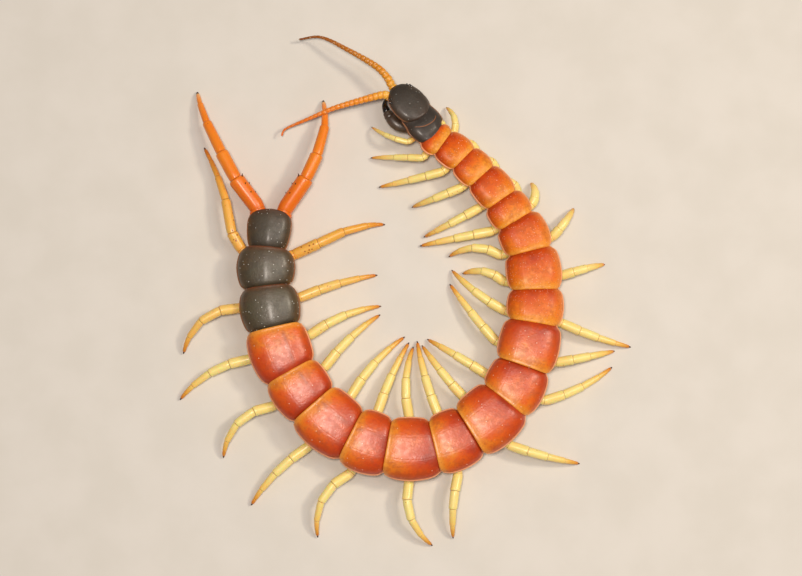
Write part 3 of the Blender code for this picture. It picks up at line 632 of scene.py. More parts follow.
def plate_finish(name, red_stops, orange_stops, flank, rim, line, speck, roughness, coat, streaked, dusty,
                 ring=None, painted_lit_flank=None, shine=0.5):
    """Hard waxed shell of a back plate: the colour runs along the plate in soft blotches, from a dark front,
    partly painted shade where the plate dips under the one before, to the hind margin; it darkens down its
    flanks and ends in a pale raised rim; fine pits and a few specks of dust break up a satin gloss.

    A lit flank is painted light: the left side is painted paler, as if light fell on it, and many small
    painted highlights come with it."""
    paint, tree, shader, (x, y, tone), spot = finish(name, roughness, coat, 0.06)
    shader.inputs["Specular IOR Level"].default_value = shine
    mottle = add(tree, "TexNoise", {"Vector": spot, "Scale": coarse(BLOTCHES), "Detail": 3.0})
    fine = add(tree, "TexNoise", {"Vector": spot, "Scale": coarse(MOTTLE), "Detail": 4.0})
    across = add(tree, "Math", [x], operation="ABSOLUTE")
    along = add(tree, "Math", [mottle, 1.1, y], operation="MULTIPLY_ADD")
    along = add(tree, "Math", [along, 0.55], operation="SUBTRACT")
    along = add(tree, "Math", [along, 0.84], operation="MINIMUM")
    # The hind margin keeps its own colour, whatever the blotches do.
    margin = add(tree, "MapRange", [y, 0.8, 0.93, 0.0, 1.0], **EASED)
    inside = add(tree, "Math", [1.0, margin], operation="SUBTRACT")
    change = add(tree, "Math", [y, along], operation="SUBTRACT")
    along = add(tree, "Math", [change, margin, along], operation="MULTIPLY_ADD")
    # Both ramps run darkest at the plate's front: partly its own colour, partly painted shade where it dips
    # under the plate before.
    red = add(tree, "ValToRGB", [along], red_stops)
    orange = add(tree, "ValToRGB", [along], orange_stops)
    share = add(tree, "MapRange", [tone, 0.0, 1.0, 0.0, 1.0], **EASED)
    colour = add(tree, "Mix", {0: share, 6: red, 7: orange}, **COLOURS)
    wander = add(tree, "Math", [mottle, 0.8, across], operation="MULTIPLY_ADD")
    dark = add(tree, "MapRange", [wander, 0.75, 1.2, 0.0, 0.8], **EASED)
    dark = add(tree, "Math", [dark, inside], operation="MULTIPLY")
    pale = add(tree, "Math", [tone, 0.8], operation="MULTIPLY")
    pale = add(tree, "Math", [1.0, pale], operation="SUBTRACT")
    dark = add(tree, "Math", [dark, pale], operation="MULTIPLY")
    colour = add(tree, "Mix", {0: dark, 6: colour, 7: shade(flank)}, **COLOURS)
    # Painted light: the left flank is painted paler, as where light falls on it.
    if painted_lit_flank:
        left = add(tree, "Math", [x, -1.0], operation="MULTIPLY")
        left = add(tree, "MapRange", [left, 0.3, 0.8, 0.0, 0.6], **EASED)
        colour = add(tree, "Mix", {0: left, 6: colour, 7: shade(painted_lit_flank)}, **COLOURS)
    pits = add(tree, "TexNoise", {"Vector": spot, "Scale": coarse(PITS), "Detail": 3.0})
    blotch = add(tree, "MapRange", [fine, 0.42, 0.62, 0.0, 1.0], **EASED)
    patch = add(tree, "MapRange", [mottle, 0.35, 0.6, 0.0, 1.0], **EASED)
    blotch = add(tree, "Math", [blotch, patch], operation="MULTIPLY")
    blotch = add(tree, "Math", [blotch, 0.34], operation="MULTIPLY")
    colour = add(tree, "Mix", {0: blotch, 6: colour, 7: shade(line)}, **COLOURS)
    pitted = add(tree, "MapRange", [pits, 0.52, 0.66, 0.0, 0.22], **EASED)
    colour = add(tree, "Mix", {0: pitted, 6: colour, 7: shade(line)}, **COLOURS)
    # The streak wavers, fades at the plate's front and stops at its hind margin.
    off = add(tree, "Math", [x, STREAK_AT], operation="SUBTRACT")
    off = add(tree, "Math", [off], operation="ABSOLUTE")
    waver = add(tree, "Math", [fine, 0.5], operation="SUBTRACT")
    off = add(tree, "Math", [waver, 0.1, off], operation="MULTIPLY_ADD")
    streak = add(tree, "MapRange", [off, 0.0, STREAK_HALF, streaked, 0.0], **EASED)
    middle = add(tree, "MapRange", [y, 0.05, 0.25, 0.0, 1.0], **EASED)
    broken = add(tree, "MapRange", [mottle, 0.3, 0.6, 0.0, 1.0], **EASED)
    middle = add(tree, "Math", [middle, broken], operation="MULTIPLY")
    middle = add(tree, "Math", [middle, inside], operation="MULTIPLY")
    marked = add(tree, "Math", [tone, STREAK_TONE], operation="LESS_THAN")
    middle = add(tree, "Math", [middle, marked], operation="MULTIPLY")
    streak = add(tree, "Math", [streak, middle], operation="MULTIPLY")
    colour = add(tree, "Mix", {0: streak, 6: colour, 7: shade(line)}, **COLOURS)
    if ring:
        ring_at, ring_bend, ring_half, _ = RING_FURROW
        bent = add(tree, "Math", [x, x], operation="MULTIPLY")
        bent = add(tree, "Math", [bent, -ring_bend, y], operation="MULTIPLY_ADD")
        bent = add(tree, "Math", [bent, ring_at], operation="SUBTRACT")
        bent = add(tree, "Math", [bent], operation="ABSOLUTE")
        furrow = add(tree, "MapRange", [bent, 0.0, ring_half, 0.8, 0.0])
        neck = add(tree, "Math", [tone, RING_TONE], operation="GREATER_THAN")
        near = add(tree, "Math", [across, RING_REACH], operation="LESS_THAN")
        neck = add(tree, "Math", [neck, near], operation="MULTIPLY")
        furrow = add(tree, "Math", [furrow, neck], operation="MULTIPLY")
        colour = add(tree, "Mix", {0: furrow, 6: colour, 7: shade(ring)}, **COLOURS)
    raised = add(tree, "MapRange", [across, *RIM_COLOUR, 0.0, 0.85], **EASED)
    colour = add(tree, "Mix", {0: raised, 6: colour, 7: shade(rim)}, **COLOURS)
    dust = add(tree, "Math", [strewn(tree, spot, 0.8, 0.2, dusty, 3.0), 0.85], operation="MULTIPLY")
    dust = add(tree, "Math", [dust, pale], operation="MULTIPLY")
    colour = add(tree, "Mix", {0: dust, 6: colour, 7: shade(speck)}, **COLOURS)
    # Painted highlights: small pale sparkle specks strewn over the painted lit flank.
    if painted_lit_flank:
        painted_glints = add(tree, "Math", [strewn(tree, spot, 0.42, 0.16, 0.7, 2.0), 0.5], operation="MULTIPLY")
        painted_glints = add(tree, "Math", [painted_glints, pale], operation="MULTIPLY")
        colour = add(tree, "Mix", {0: painted_glints, 6: colour, 7: shade(speck)}, **COLOURS)
    rough = add(tree, "MapRange", [fine, 0.3, 0.7, roughness - 0.04, roughness + 0.1])
    rough = add(tree, "Math", [tone, 0.16, rough], operation="MULTIPLY_ADD")
    tree.links.new(rough, shader.inputs["Roughness"])
    height = add(tree, "Math", [fine, 0.8, pits], operation="MULTIPLY_ADD")
    painted(tree, shader, colour, height, 0.07)
    return paint


def ringed(tree, along, start, full, top):
    """A ring at each whole number along a straight form."""
    off = add(tree, "Math", [along], operation="FRACT")
    off = add(tree, "Math", [off, 0.5], operation="SUBTRACT")
    off = add(tree, "Math", [off], operation="ABSOLUTE")
    return add(tree, "MapRange", [off, start, full, 0.0, top], **EASED)


def limb_finish(name, joint, dot, stops, warm_stops=None, roughness=0.36, coat=0.25):
    """Thin tough shell of a leg over pale flesh: light gets a little way in, the joints show as thin dark
    rings and small red-brown dots are strewn over it, most of them near the root of a warm leg."""
    paint, tree, shader, (_, y, warm), spot = finish(name, roughness, coat, 0.35, 1.5)
    along = add(tree, "Math", [y, LEG_FORM_END], operation="DIVIDE")
    mottle = add(tree, "TexNoise", {"Vector": spot, "Scale": coarse(1.6), "Detail": 3.0})
    along = add(tree, "Math", [mottle, 0.1, along], operation="MULTIPLY_ADD")
    along = add(tree, "Math", [along, 0.05], operation="SUBTRACT")
    pale = add(tree, "ValToRGB", [along], stops)
    deep = add(tree, "ValToRGB", [along], warm_stops or stops)
    colour = add(tree, "Mix", {0: warm, 6: pale, 7: deep}, **COLOURS)
    rings = ringed(tree, y, 0.478, 0.496, 0.75)
    colour = add(tree, "Mix", {0: rings, 6: colour, 7: shade(joint)}, **COLOURS)
    few = add(tree, "Math", [strewn(tree, spot, 1.1, 0.28, 0.2, 4.0), 0.6], operation="MULTIPLY")
    many = add(tree, "Math", [strewn(tree, spot, 1.0, 0.42, 0.8, 4.0), warm], operation="MULTIPLY")
    rooted = add(tree, "MapRange", [y, 2.2, 3.5, 0.85, 0.0])
    many = add(tree, "Math", [many, rooted], operation="MULTIPLY")
    dots = add(tree, "Math", [few, many], operation="MAXIMUM")
    colour = add(tree, "Mix", {0: dots, 6: colour, 7: shade(dot)}, **COLOURS)
    fine = add(tree, "TexNoise", {"Vector": spot, "Scale": coarse(0.5), "Detail": 3.0})
    painted(tree, shader, colour, fine, 0.05)
    return paint


def feeler_finish(name, ring, stops):
    """Feeler shell: short rings set off by dark seams, and pale down, which dulls the gloss. The down is
    drawn coarser than it is, so that it shows."""
    paint, tree, shader, (_, y, _), spot = finish(name, 0.42, 0.12, 0.3, 1.5)
    along = add(tree, "Math", [y, float(ANTENNA_RINGS)], operation="DIVIDE")
    colour = add(tree, "ValToRGB", [along], stops)
    rings = ringed(tree, y, 0.4, 0.49, 0.4)
    colour = add(tree, "Mix", {0: rings, 6: colour, 7: shade(ring)}, **COLOURS)
    down = add(tree, "TexNoise", {"Vector": spot, "Scale": coarse(0.25), "Detail": 0.0})
    down = add(tree, "MapRange", [down, 0.66, 0.74, 0.0, 0.5], **EASED)
    colour = add(tree, "Mix", {0: down, 6: colour, 7: shade("#FFE9C0")}, **COLOURS)
    fine = add(tree, "TexNoise", {"Vector": spot, "Scale": coarse(0.22), "Detail": 2.0})
    painted(tree, shader, colour, fine, 0.03)
    return paint


def plain_finish(name, light, dark, roughness, coat, under, grain, depth, ior=1.55):
    """A finish mottled between two colours, with a fine grain in its surface."""
    paint, tree, shader, _, spot = finish(name, roughness, coat, under, ior)
    mottle = add(tree, "TexNoise", {"Vector": spot, "Scale": coarse(grain * 4), "Detail": 4.0})
    mottle = add(tree, "MapRange", [mottle, 0.3, 0.7, 0.0, 1.0], **EASED)
    colour = add(tree, "Mix", {0: mottle, 6: shade(light), 7: shade(dark)}, **COLOURS)
    fine = add(tree, "TexNoise", {"Vector": spot, "Scale": coarse(grain), "Detail": 4.0})
    painted(tree, shader, colour, fine, depth)
    return paint


# The shell's ramps are darkest at a plate's front, partly painted shade where it dips under the plate before.
RED_SHELL = (
    [(0.0, "#A63002"), (0.16, "#C23C02"), (0.4, "#D65002"), (0.62, "#E46206"), (0.82, "#EA7E14"),
     (1.0, "#F09C36")],
    [(0.0, "#C84A06"), (0.2, "#DC5806"), (0.5, "#EC780C"), (0.8, "#F2941E"), (1.0, "#F4A83C")],
    "#BC3E06", "#F4AC80", "#9C3A06", "#FFE6CC", 0.34, 0.06)
# Chitin with a thin wax on it: a warm satin shell, glossier at the hind end than on the first plates.
RED_PLATE = plate_finish("waxed_red_shell", *RED_SHELL, streaked=0.6, dusty=0.3)
# The first plates have the same shell with less shine, a painted lit left flank and small painted highlights.
FRONT_PLATE = plate_finish(
    "dull_red_shell", *RED_SHELL, streaked=0.0, dusty=0.3, painted_lit_flank="#FA9A44", shine=0.26)
# The same shell with dark pigment in it: nearly black where it is thick, brown where its edge lets light
# through.
DARK_PLATE = plate_finish(
    "waxed_dark_shell",
    [(0.0, "#403420"), (0.15, "#4A3E28"), (0.5, "#4E462E"), (0.85, "#54442E"), (0.96, "#603C1C"),
     (1.0, "#7A3A14")],
    [(0.0, "#2A2018"), (0.5, "#30261E"), (1.0, "#382A20")],
    "#5A3E20", "#96603A", "#2A2218", "#F0EEE6", 0.4, 0.2, streaked=0.0, dusty=0.8, ring="#A8622C")
# Thin chitin over pale flesh: it looks like wax and glows a little at its edges.
WALKING_LEG = limb_finish(
    "pale_leg_shell", "#A8621C", "#8E2C0E",
    [(0.0, "#F2BE5E"), (0.16, "#F8DE86"), (0.45, "#FAE692"), (0.65, "#F6D072"), (0.82, "#E6A63C"),
     (1.0, "#CE741C")],
    [(0.0, "#EEA23C"), (0.3, "#F2BA54"), (0.6, "#EEAE44"), (0.85, "#E29230"), (1.0, "#CE741C")])
TAIL_LEG = limb_finish(
    "orange_leg_shell", "#C8641C", "#7E260A",
    [(0.0, "#E4680A"), (0.25, "#EC760C"), (0.45, "#F28A16"), (0.7, "#F08416"), (0.88, "#F0923A"),
     (1.0, "#F2B070")],
    roughness=0.38, coat=0.2)
ORANGE_FEELER = feeler_finish(
    "orange_feeler_shell", "#B0540C",
    [(0.0, "#F4B43A"), (0.15, "#F09A20"), (0.6, "#EE8212"), (1.0, "#E0721A")])
AMBER_FEELER = feeler_finish(
    "amber_feeler_shell", "#80420A",
    [(0.0, "#ECA826"), (0.15, "#DC8E14"), (0.6, "#B4680C"), (1.0, "#86480E")])
# Soft folded skin is duller than shell; horn is dark, dense chitin with a polish; a lens is clear and looks
# wet.
SOFT_SKIN = plain_finish("soft_folded_skin", "#E09A3E", "#C8701E", 0.5, 0.1, 0.25, 0.5, 0.12, 1.45)
BELLY_SHELL = plain_finish("pale_belly_shell", "#DD9C44", "#C47C2C", 0.38, 0.2, 0.2, 0.6, 0.05)
JAW_SHELL = plain_finish("brown_jaw_shell", "#524234", "#3C2C20", 0.38, 0.2, 0.05, 0.5, 0.04)
FANG_HORN = plain_finish("black_horn", "#120D0A", "#0A0807", 0.2, 0.5, 0.0, 0.4, 0.02)
CLAW_HORN = plain_finish("brown_horn", "#5E2E10", "#34180A", 0.28, 0.4, 0.05, 0.3, 0.02)
EYE_GLASS = plain_finish("dark_eye_lens", "#0C0A09", "#1A120E", 0.08, 1.0, 0.0, 0.3, 0.0)
HOLE_RIM = plain_finish("brown_hole_rim", "#723C18", "#42220E", 0.45, 0.1, 0.05, 0.2, 0.03)

# The back plates.
PLATE_MARGIN = 0.8
MARGIN_SHARE = 0.1
PLATE_ROWS = [
    (-0.08, -0.3), (-0.03, -0.23), (0.02, -0.12), (0.06, -0.04), (0.1, -0.01), (0.17, 0.01), (0.27, 0.03),
    (0.38, 0.03), (0.5, 0.04), (0.62, 0.04), (0.73, 0.03), (0.83, 0.0), (0.9, -0.06), (0.94, -0.08),
    (0.965, -0.03), (0.985, -0.03), (1.0, -0.12),
]
PLATE_COLUMNS = 32
PLATE_FLAT = 0.085
KEEL = 0.16
KEEL_HALF = 0.3
NECK_FORWARD = (1.4, 0.9)
# How far a plate's hind edge is drawn back in its middle, and cut away at its sides.
BULGES = {1: (0.9, 0.4), 20: (0.15, 0.2), 21: (0.6, 0.6)}
RIM_FROM = 0.875
RIM_RAISED = 0.2
SUTURE_HALF = 0.012
SUTURE_DEPTH = 0.035
PLATE_THICKNESS = 0.2
CORNER_BACK = 0.75
PLATE_OVER = 0.2
# A plate that is higher than the one before it dips at its front, to go in under that plate's hind edge.
HIND_HEIGHT = 0.95
FRONT_UNDER = 0.12
# How orange each plate is, from red at 0. On the dark plates it is how dark they are.
TONES = [
    1.0, 0.9, 0.4, 0.65, 0.4, 0.55, 0.42, 0.42, 0.5, 0.14, 0.13, 0.12, 0.12, 0.12, 0.03, 0.03, 0.05, 0.1,
    0.1, 0.2, 0.5,
]


def plate_form(sutures):
    """A straight back plate: a rolled hind edge, raised side rims and, if asked, two fine sutures."""
    sheet = drawn_sheet(PLATE_COLUMNS, PLATE_ROWS)
    bpy.ops.object.mode_set(mode="EDIT")
    if sutures:
        choose(sheet, lambda spot: abs(abs(spot.x) - SUTURE_AT) < 0.001, "EDGE")
        bpy.ops.mesh.bevel(offset=SUTURE_HALF, segments=2, affect="EDGES")
        choose(sheet, lambda spot: abs(abs(spot.x) - SUTURE_AT) < 0.002)
        bpy.ops.transform.translate(value=(0, 0, -SUTURE_DEPTH))
    choose(sheet, lambda spot: abs(spot.x) > RIM_FROM, "FACE")
    bpy.ops.mesh.extrude_region_move(TRANSFORM_OT_translate={"value": (0, 0, RIM_RAISED)})
    bpy.ops.object.mode_set(mode="OBJECT")
    return softened(sheet)


def stretched(share, length, forward=0.0):
    """Distance back from a plate's front: its margins keep their real size, its middle is stretched."""
    if share < MARGIN_SHARE:
        return share / MARGIN_SHARE * PLATE_MARGIN - (MARGIN_SHARE - share) / MARGIN_SHARE * forward
    if share > 1 - MARGIN_SHARE:
        return length - (1 - share) / MARGIN_SHARE * PLATE_MARGIN
    return PLATE_MARGIN + (share - MARGIN_SHARE) / (1 - 2 * MARGIN_SHARE) * (length - 2 * PLATE_MARGIN)


def plate_spot(number):
    """Where the corners of a straight plate go: X is an angle from rim to rim, Y runs along the animal."""
    length, width = PLATES[number - 1]
    start = plate_start(number)
    shape = OTHER_SHAPES.get(number, PLATE_SHAPE)
    forward, front_round = NECK_FORWARD if number == 1 else (0.0, 0.0)
    bulge, corner = BULGES.get(number, (0.0, 0.0))
    keeled = number >= FIRST_DARK_PLATE
    ring_front, ring_back, ring_half, ring_depth = RING_FURROW
    before = plate_height(PLATES[max(number - 2, 0)][1])
    step = max(0.0, plate_height(width) * shape(0.0).z - before * HIND_HEIGHT) if number > 1 else 0.0

    def where(spot):
        along = stretched(spot.y, length, forward - front_round * abs(spot.x) ** 3)
        shares = shape(along / length)
        angle = (1.0 + spot.x) * math.pi / 2
        if keeled:
            raised = spot.z + KEEL * max(0.0, 1.0 - abs(spot.x) / KEEL_HALF) ** 2
        else:
            raised = spot.z - PLATE_FLAT * max(0.0, 1.0 - (spot.x / SUTURE_AT) ** 2)
        raised -= step * min(1.0, max(0.0, (FRONT_UNDER - spot.y) / FRONT_UNDER))
        if number == 1:
            from_ring = (spot.y - ring_front - ring_back * spot.x ** 2) / ring_half
            raised -= ring_depth * math.exp(-from_ring ** 2) * max(0.0, 1.0 - (spot.x * 2) ** 4)
        out, up = arch_out(angle, width * shares.y - RIM_RAISED, plate_height(width) * shares.z, raised)
        cut = CORNER_BACK * abs(spot.x) ** 6 * max(0.0, spot.y) ** 4
        aside = min(abs(out) * 2 / width, 1.0)
        cut += ((bulge + corner) * aside ** 2 - bulge) * max(0.0, spot.y) ** 3
        return trunk_point(start + along - cut + PLATE_OVER * max(0.0, spot.y - 0.5), out, up)
    return where


def make_back_plates():
    """The 21 back plates, all from the two straight forms."""
    sutured, smooth = plate_form(True), plate_form(False)
    for number, tone in enumerate(TONES, start=1):
        dark = number == 1 or number >= FIRST_DARK_PLATE
        paint = DARK_PLATE if dark else FRONT_PLATE if number <= LAST_FRONT_PLATE else RED_PLATE
        form = smooth if dark else sutured
        plate = laid(copied(form, "plate"), plate_spot(number), tone)
        modified(plate, "SOLIDIFY", thickness=PLATE_THICKNESS * MM, offset=-1.0)
        shown(plate, f"back_plate_{number:02d}", paint, "dark_plates" if dark else "red_plates")
    dropped(sutured, smooth)


# The skin of the trunk and the plates of the belly.
SKIN_SIDES = 28
SKIN_FOLDS = [(0.0, 0.9), (0.1, 0.97), (0.25, 1.0), (0.42, 0.985), (0.6, 1.0), (0.8, 0.99), (0.93, 0.95)]
SKIN_INSET = 0.93
# The skin begins this far inside the head, at this share of the first plate's width and height.
SKIN_FRONT = 2.6
NECK_SKIN = (0.0, 0.8, 0.9)
NECK_RINGS = [(0.0, 0.5), (0.03, 0.8), (0.3, 0.85), (0.7, 0.85)]
# Past the last plate, Y runs on at this many millimetres to one.
TAIL_SPAN = 10.0
TAIL_RINGS = [(21.99, 0.9), (22.0, 0.85), (22.03, 0.7), (22.05, 0.4), (22.055, 0.15)]
BORDERS = [HEAD_LENGTH - SKIN_FRONT] + [plate_start(number) for number in range(1, LAST_PLATE + 2)]


def skin_spot(spot):
    """A point on the skin: Y counts the segments, the bar's round becomes the trunk's section."""
    number = min(int(spot.y), LAST_PLATE)
    share = spot.y - number
    span = BORDERS[number + 1] - BORDERS[number] if number <= LAST_PLATE else TAIL_SPAN
    distance = BORDERS[number] + share * span
    width = PLATES[max(number, 1) - 1][1]
    _, wide, high = OTHER_SHAPES.get(number, PLATE_SHAPE)(min(share, 1.0)) if number else NECK_SKIN
    high *= plate_height(width)
    return trunk_point(distance, *in_section(spot, width * wide * SKIN_INSET, high, high * SKIN_INSET))


def make_skin():
    rings = list(NECK_RINGS)
    for number in range(1, LAST_PLATE + 1):
        rings += [(number + share, radius) for share, radius in SKIN_FOLDS]
    skin = softened(drawn_bar(SKIN_SIDES, rings + TAIL_RINGS))
    shown(facing_out(laid(skin, skin_spot)), "body_skin", SOFT_SKIN, "walking_legs", *TRUNK_NODES)


BELLY_ROWS = [
    (0.05, -0.12), (0.07, 0.0), (0.12, 0.1), (0.2, 0.14), (0.35, 0.16), (0.5, 0.16), (0.65, 0.16),
    (0.8, 0.15), (0.9, 0.12), (0.95, 0.05), (0.97, -0.1),
]
BELLY_SHARE = 0.31
BELLY_NARROWS = 0.06
LAST_BELLY_NARROWS = 0.45
BELLY_FRONT_NARROWS = 0.1
BELLY_CORNER = 0.35
BELLY_EDGE = 0.16
BELLY_HOLLOW = 0.03
BELLY_GROOVE_AT = 0.375
BELLY_GROOVE_DEPTH = 0.09
BELLY_THICKNESS = 0.3


def belly_spot(number):
    length, width = PLATES[number - 1]
    start = plate_start(number)
    narrow = LAST_BELLY_NARROWS if number == LAST_PLATE else BELLY_NARROWS

    def where(spot):
        wide = width * BELLY_SHARE * (1 - narrow * spot.y ** 2)
        wide *= 1 - BELLY_FRONT_NARROWS * (1 - spot.y) ** 4
        cut = BELLY_CORNER * abs(spot.x) ** 5 * (spot.y - 0.5) * 2
        up = BELLY_HOLLOW * plate_height(width) * spot.x ** 2 + BELLY_EDGE * abs(spot.x) ** 8
        return trunk_point(start + spot.y * length - cut, spot.x * wide, up - spot.z)
    return where


def make_belly():
    """The belly plates, each with the two long grooves of the genus."""
    sheet = drawn_sheet(16, BELLY_ROWS)
    bpy.ops.object.mode_set(mode="EDIT")
    choose(sheet, lambda spot: abs(abs(spot.x) - BELLY_GROOVE_AT) < 0.001, "EDGE")
    bpy.ops.mesh.bevel(offset=0.03, segments=2, affect="EDGES")
    choose(sheet, lambda spot: abs(abs(spot.x) - BELLY_GROOVE_AT) < 0.005 and spot.y < 0.92)
    bpy.ops.transform.translate(value=(0, 0, -BELLY_GROOVE_DEPTH))
    bpy.ops.object.mode_set(mode="OBJECT")
    softened(sheet)
    plates = []
    for number in range(1, LAST_PLATE + 1):
        plate = laid(copied(sheet, "belly"), belly_spot(number))
        plates.append(modified(plate, "SOLIDIFY", thickness=BELLY_THICKNESS * MM, offset=-1.0))
    dropped(sheet)
    shown(joined(plates, "belly_plates"), "belly_plates", BELLY_SHELL, "walking_legs")


def stood(form, place, outward, along, size):
    """A copy of a small form with its Y turned outwards and its X along, at its size in millimetres."""
    copy = copied(form, "copy")
    outward = outward.normalized()
    across = outward.cross(along).normalized()
    run = across.cross(outward)

    def where(spot):
        return place + run * spot.x * size.x + outward * spot.y * size.y + across * spot.z * size.z
    return laid(copy, where)


BREATHING_SEGMENTS = (3, 5, 8, 10, 12, 14, 16, 18, 20)
HOLE_RINGS = [(-0.5, 1.3), (0.1, 1.25), (0.3, 1.0), (0.25, 0.75), (-0.1, 0.6), (-0.5, 0.4)]
HOLE_ALONG, HOLE_OUT, HOLE_UP = 0.62, 0.455, 0.4
HOLE_SIZE = Vector((0.38, 0.3, 0.2))


def make_breathing_holes():
    ring = softened(drawn_bar(12, HOLE_RINGS))
    holes = []
    for number in BREATHING_SEGMENTS:
        length, width = PLATES[number - 1]
        distance = plate_start(number) + length * HOLE_ALONG
        for side in (-1, 1):
            place = trunk_point(distance, side * width * HOLE_OUT, plate_height(width) * HOLE_UP)
            aside = trunk_frame(distance)[1] * side
            holes.append(facing_out(stood(ring, place, aside, TRUNK.heading(distance), HOLE_SIZE)))
    dropped(ring)
    shown(joined(holes, "breathing_holes"), "breathing_holes", HOLE_RIM, "walking_legs")


# The legs.
HIP_RINGS = [(0.3, 0.9), (0.5, 1.0), (0.78, 1.04), (0.86, 1.0), (0.9, 0.92), (0.93, 0.96), (0.985, 0.94)]
PART_RINGS = [
    (0.0, 0.9), (0.03, 0.94), (0.08, 0.98), (0.2, 1.0), (0.5, 1.01), (0.8, 1.0), (0.93, 1.02), (0.975, 1.0),
    (0.99, 0.93),
]
# How much thicker the end of a part is than the start of the next one.
PART_STEP = 1.14
TAIL_PART_STEP = 1.25
END_RINGS = [(0.0, 0.85), (0.1, 1.0), (0.4, 1.0), (0.75, 0.9), (0.93, 0.78), (1.0, 0.5)]
LEG_SIDES = 12
LEG_FULLNESS = 1.14
SLIM_LEGS = {1: 0.7, 2: 0.86}
# The hind walking legs are oranger than the rest, and have more dots.
WARM_LEGS = {19: 0.55, 20: 1.0}
BEND_REACH = 0.6
CLAW_RINGS = [(-0.25, 0.8), (0.0, 1.0), (0.15, 0.95), (0.45, 0.7), (0.75, 0.4), (1.0, 0.06)]
CLAW_FULLNESS = 0.62
TIP_LEVEL = 0.02
THORN_RINGS = [(-0.1, 1.2), (0.1, 1.0), (0.4, 0.75), (0.75, 0.4), (1.0, 0.08)]
THORN_RADIUS = 0.24
THORN_ROOT = 0.95


def leg_form(parts, step):
    """A straight leg: hip ring, four parts that each swell and narrow to a joint, and the last part."""
    rings = list(HIP_RINGS)
    for number, (share, after) in enumerate(zip(parts, parts[1:]), start=1):
        end = min(share, after * step)
        rings += [(number + place, radius * (share + (end - share) * place)) for place, radius in PART_RINGS]
    rings += [(len(parts) + place, radius * parts[-1]) for place, radius in END_RINGS]
    return softened(drawn_bar(LEG_SIDES, rings))


def around(place, heading, spot, radius, flatness=1.0):
    """A point of a bar's round, set around a place on a line."""
    side = UP.cross(heading).normalized()
    return place - side * spot.x * radius + heading.cross(side) * spot.z * radius * flatness


def limb_spot(way, radius):
    """Where the corners of a straight leg go: Y counts the parts, and the bends are a little rounded."""
    def where(spot):
        part = min(int(spot.y), len(way.marks) - 2)
        distance = way.marks[part] + (way.marks[part + 1] - way.marks[part]) * (spot.y - part)
        reach = radius * BEND_REACH
        middle = (way.at(distance - reach) + way.at(distance) * 2 + way.at(distance + reach)) / 4
        return around(middle, way.heading(distance, reach), spot, radius)
    return where


def claw_spot(ankle, foot, radius):
    """A point on a claw: it curves from the ankle down to its point on the floor."""
    toward = flat_heading(foot - ankle)
    knee = Vector((foot.x, foot.y, ankle.z + TIP_LEVEL))
    side = UP.cross(toward)

    def where(spot):
        t = spot.y
        place = ankle * (1 - t) ** 2 + knee * 2 * t * (1 - t) + foot * t ** 2
        heading = ((knee - ankle) * (1 - t) + (foot - knee) * t).normalized()
        return place - side * spot.x * radius + heading.cross(side) * spot.z * radius
    return where


def flat_heading(run):
    return run.to_2d().to_3d().normalized()


def make_legs():
    """The 42 legs with their claws, and the thorns of the last pair."""
    form, tail_form = leg_form(LEG_PARTS, PART_STEP), leg_form(TRAILING_PARTS, TAIL_PART_STEP)
    claw_form = softened(drawn_bar(8, CLAW_RINGS))
    width = PLATES[-1][1]
    claws = []
    for side, word, rows, tail in (
            (-1, "left", LEFT_LEGS, LEFT_TRAILING), (1, "right", RIGHT_LEGS, RIGHT_TRAILING)):
        legs = [(number, *walking_leg(number, side, place)) for number, place in enumerate(rows, start=1)]
        folded = [number for number, place in enumerate(rows, start=1) if len(place) == 1]
        out, up = side * width * TRAILING_HIP_OUT, plate_height(width) * TRAILING_HIP_UP
        hip = trunk_point(TRUNK_END + TRAILING_HIP_LENGTH, out, up, TRUNK_END - 1.0)
        legs.append((LAST_PLATE, [hip] + [placed(joint) for joint in tail], TRAILING_RADIUS))
        for number, corners, radius in legs:
            last_part = corners[-1] - corners[-2]
            ankle = corners[-1] - flat_heading(last_part) * min(CLAW_REACH, last_part.length * CLAW_SHARE)
            foot = Vector((corners[-1].x, corners[-1].y, TIP_LEVEL))
            name = f"leg_{word}_{number:02d}"
            if number == LAST_PLATE:
                root = trunk_point(TRUNK_END - TRAILING_HIP_ROOT, out, up, TRUNK_END - 1.0)
                leg, full, tip = copied(tail_form, "leg"), radius, TRAILING_PARTS[-1]
                paint, slot = TAIL_LEG, "tail_legs"
                make_thorns(word, side, Way(corners[:-1] + [ankle]))
            else:
                furthest = TUCK_ROOT_ALONG if number in folded else HIP_ROOT_ALONG
                root = hip_place(number, side, HIP_ROOT_OUT, furthest=furthest)
                leg, tip = copied(form, "leg"), LEG_PARTS[-1]
                full = radius * LEG_FULLNESS * SLIM_LEGS.get(number, 1.0)
                paint, slot = WALKING_LEG, "walking_legs"
            way = Way([root] + corners[:-1] + [ankle])
            laid(leg, limb_spot(way, full), WARM_LEGS.get(number, 0.0))
            shown(facing_out(leg), "fine_" + name, paint, slot, name)
            claw = laid(copied(claw_form, "claw"), claw_spot(ankle, foot, radius * tip * CLAW_FULLNESS))
            claws.append(facing_out(claw))
    dropped(form, tail_form, claw_form)
    shown(joined(claws, "claws"), "claws", CLAW_HORN, "walking_legs")


def make_thorns(word, side, way):
    """Short thorns on the first part of a trailing leg, leaning to its tip."""
    form = softened(drawn_bar(8, THORN_RINGS))
    heading = way.heading(0.5)
    inward = -side * UP.cross(heading).normalized()
    thorns = []
    for share, angle, height in TRAILING_SPINES:
        outward = Matrix.Rotation(-math.radians(angle) * side, 3, heading) @ inward
        lean = (outward + heading * SPINE_LEAN).normalized()
        place = way.at(way.marks[1] * share) + outward * (TRAILING_RADIUS * THORN_ROOT - SPINE_ROOT)
        size = Vector((THORN_RADIUS, height + SPINE_ROOT, THORN_RADIUS))
        thorns.append(facing_out(stood(form, place, lean, heading, size)))
    dropped(form)
    shown(joined(thorns, "thorns"), f"tail_thorns_{word}", CLAW_HORN, "tail_legs")


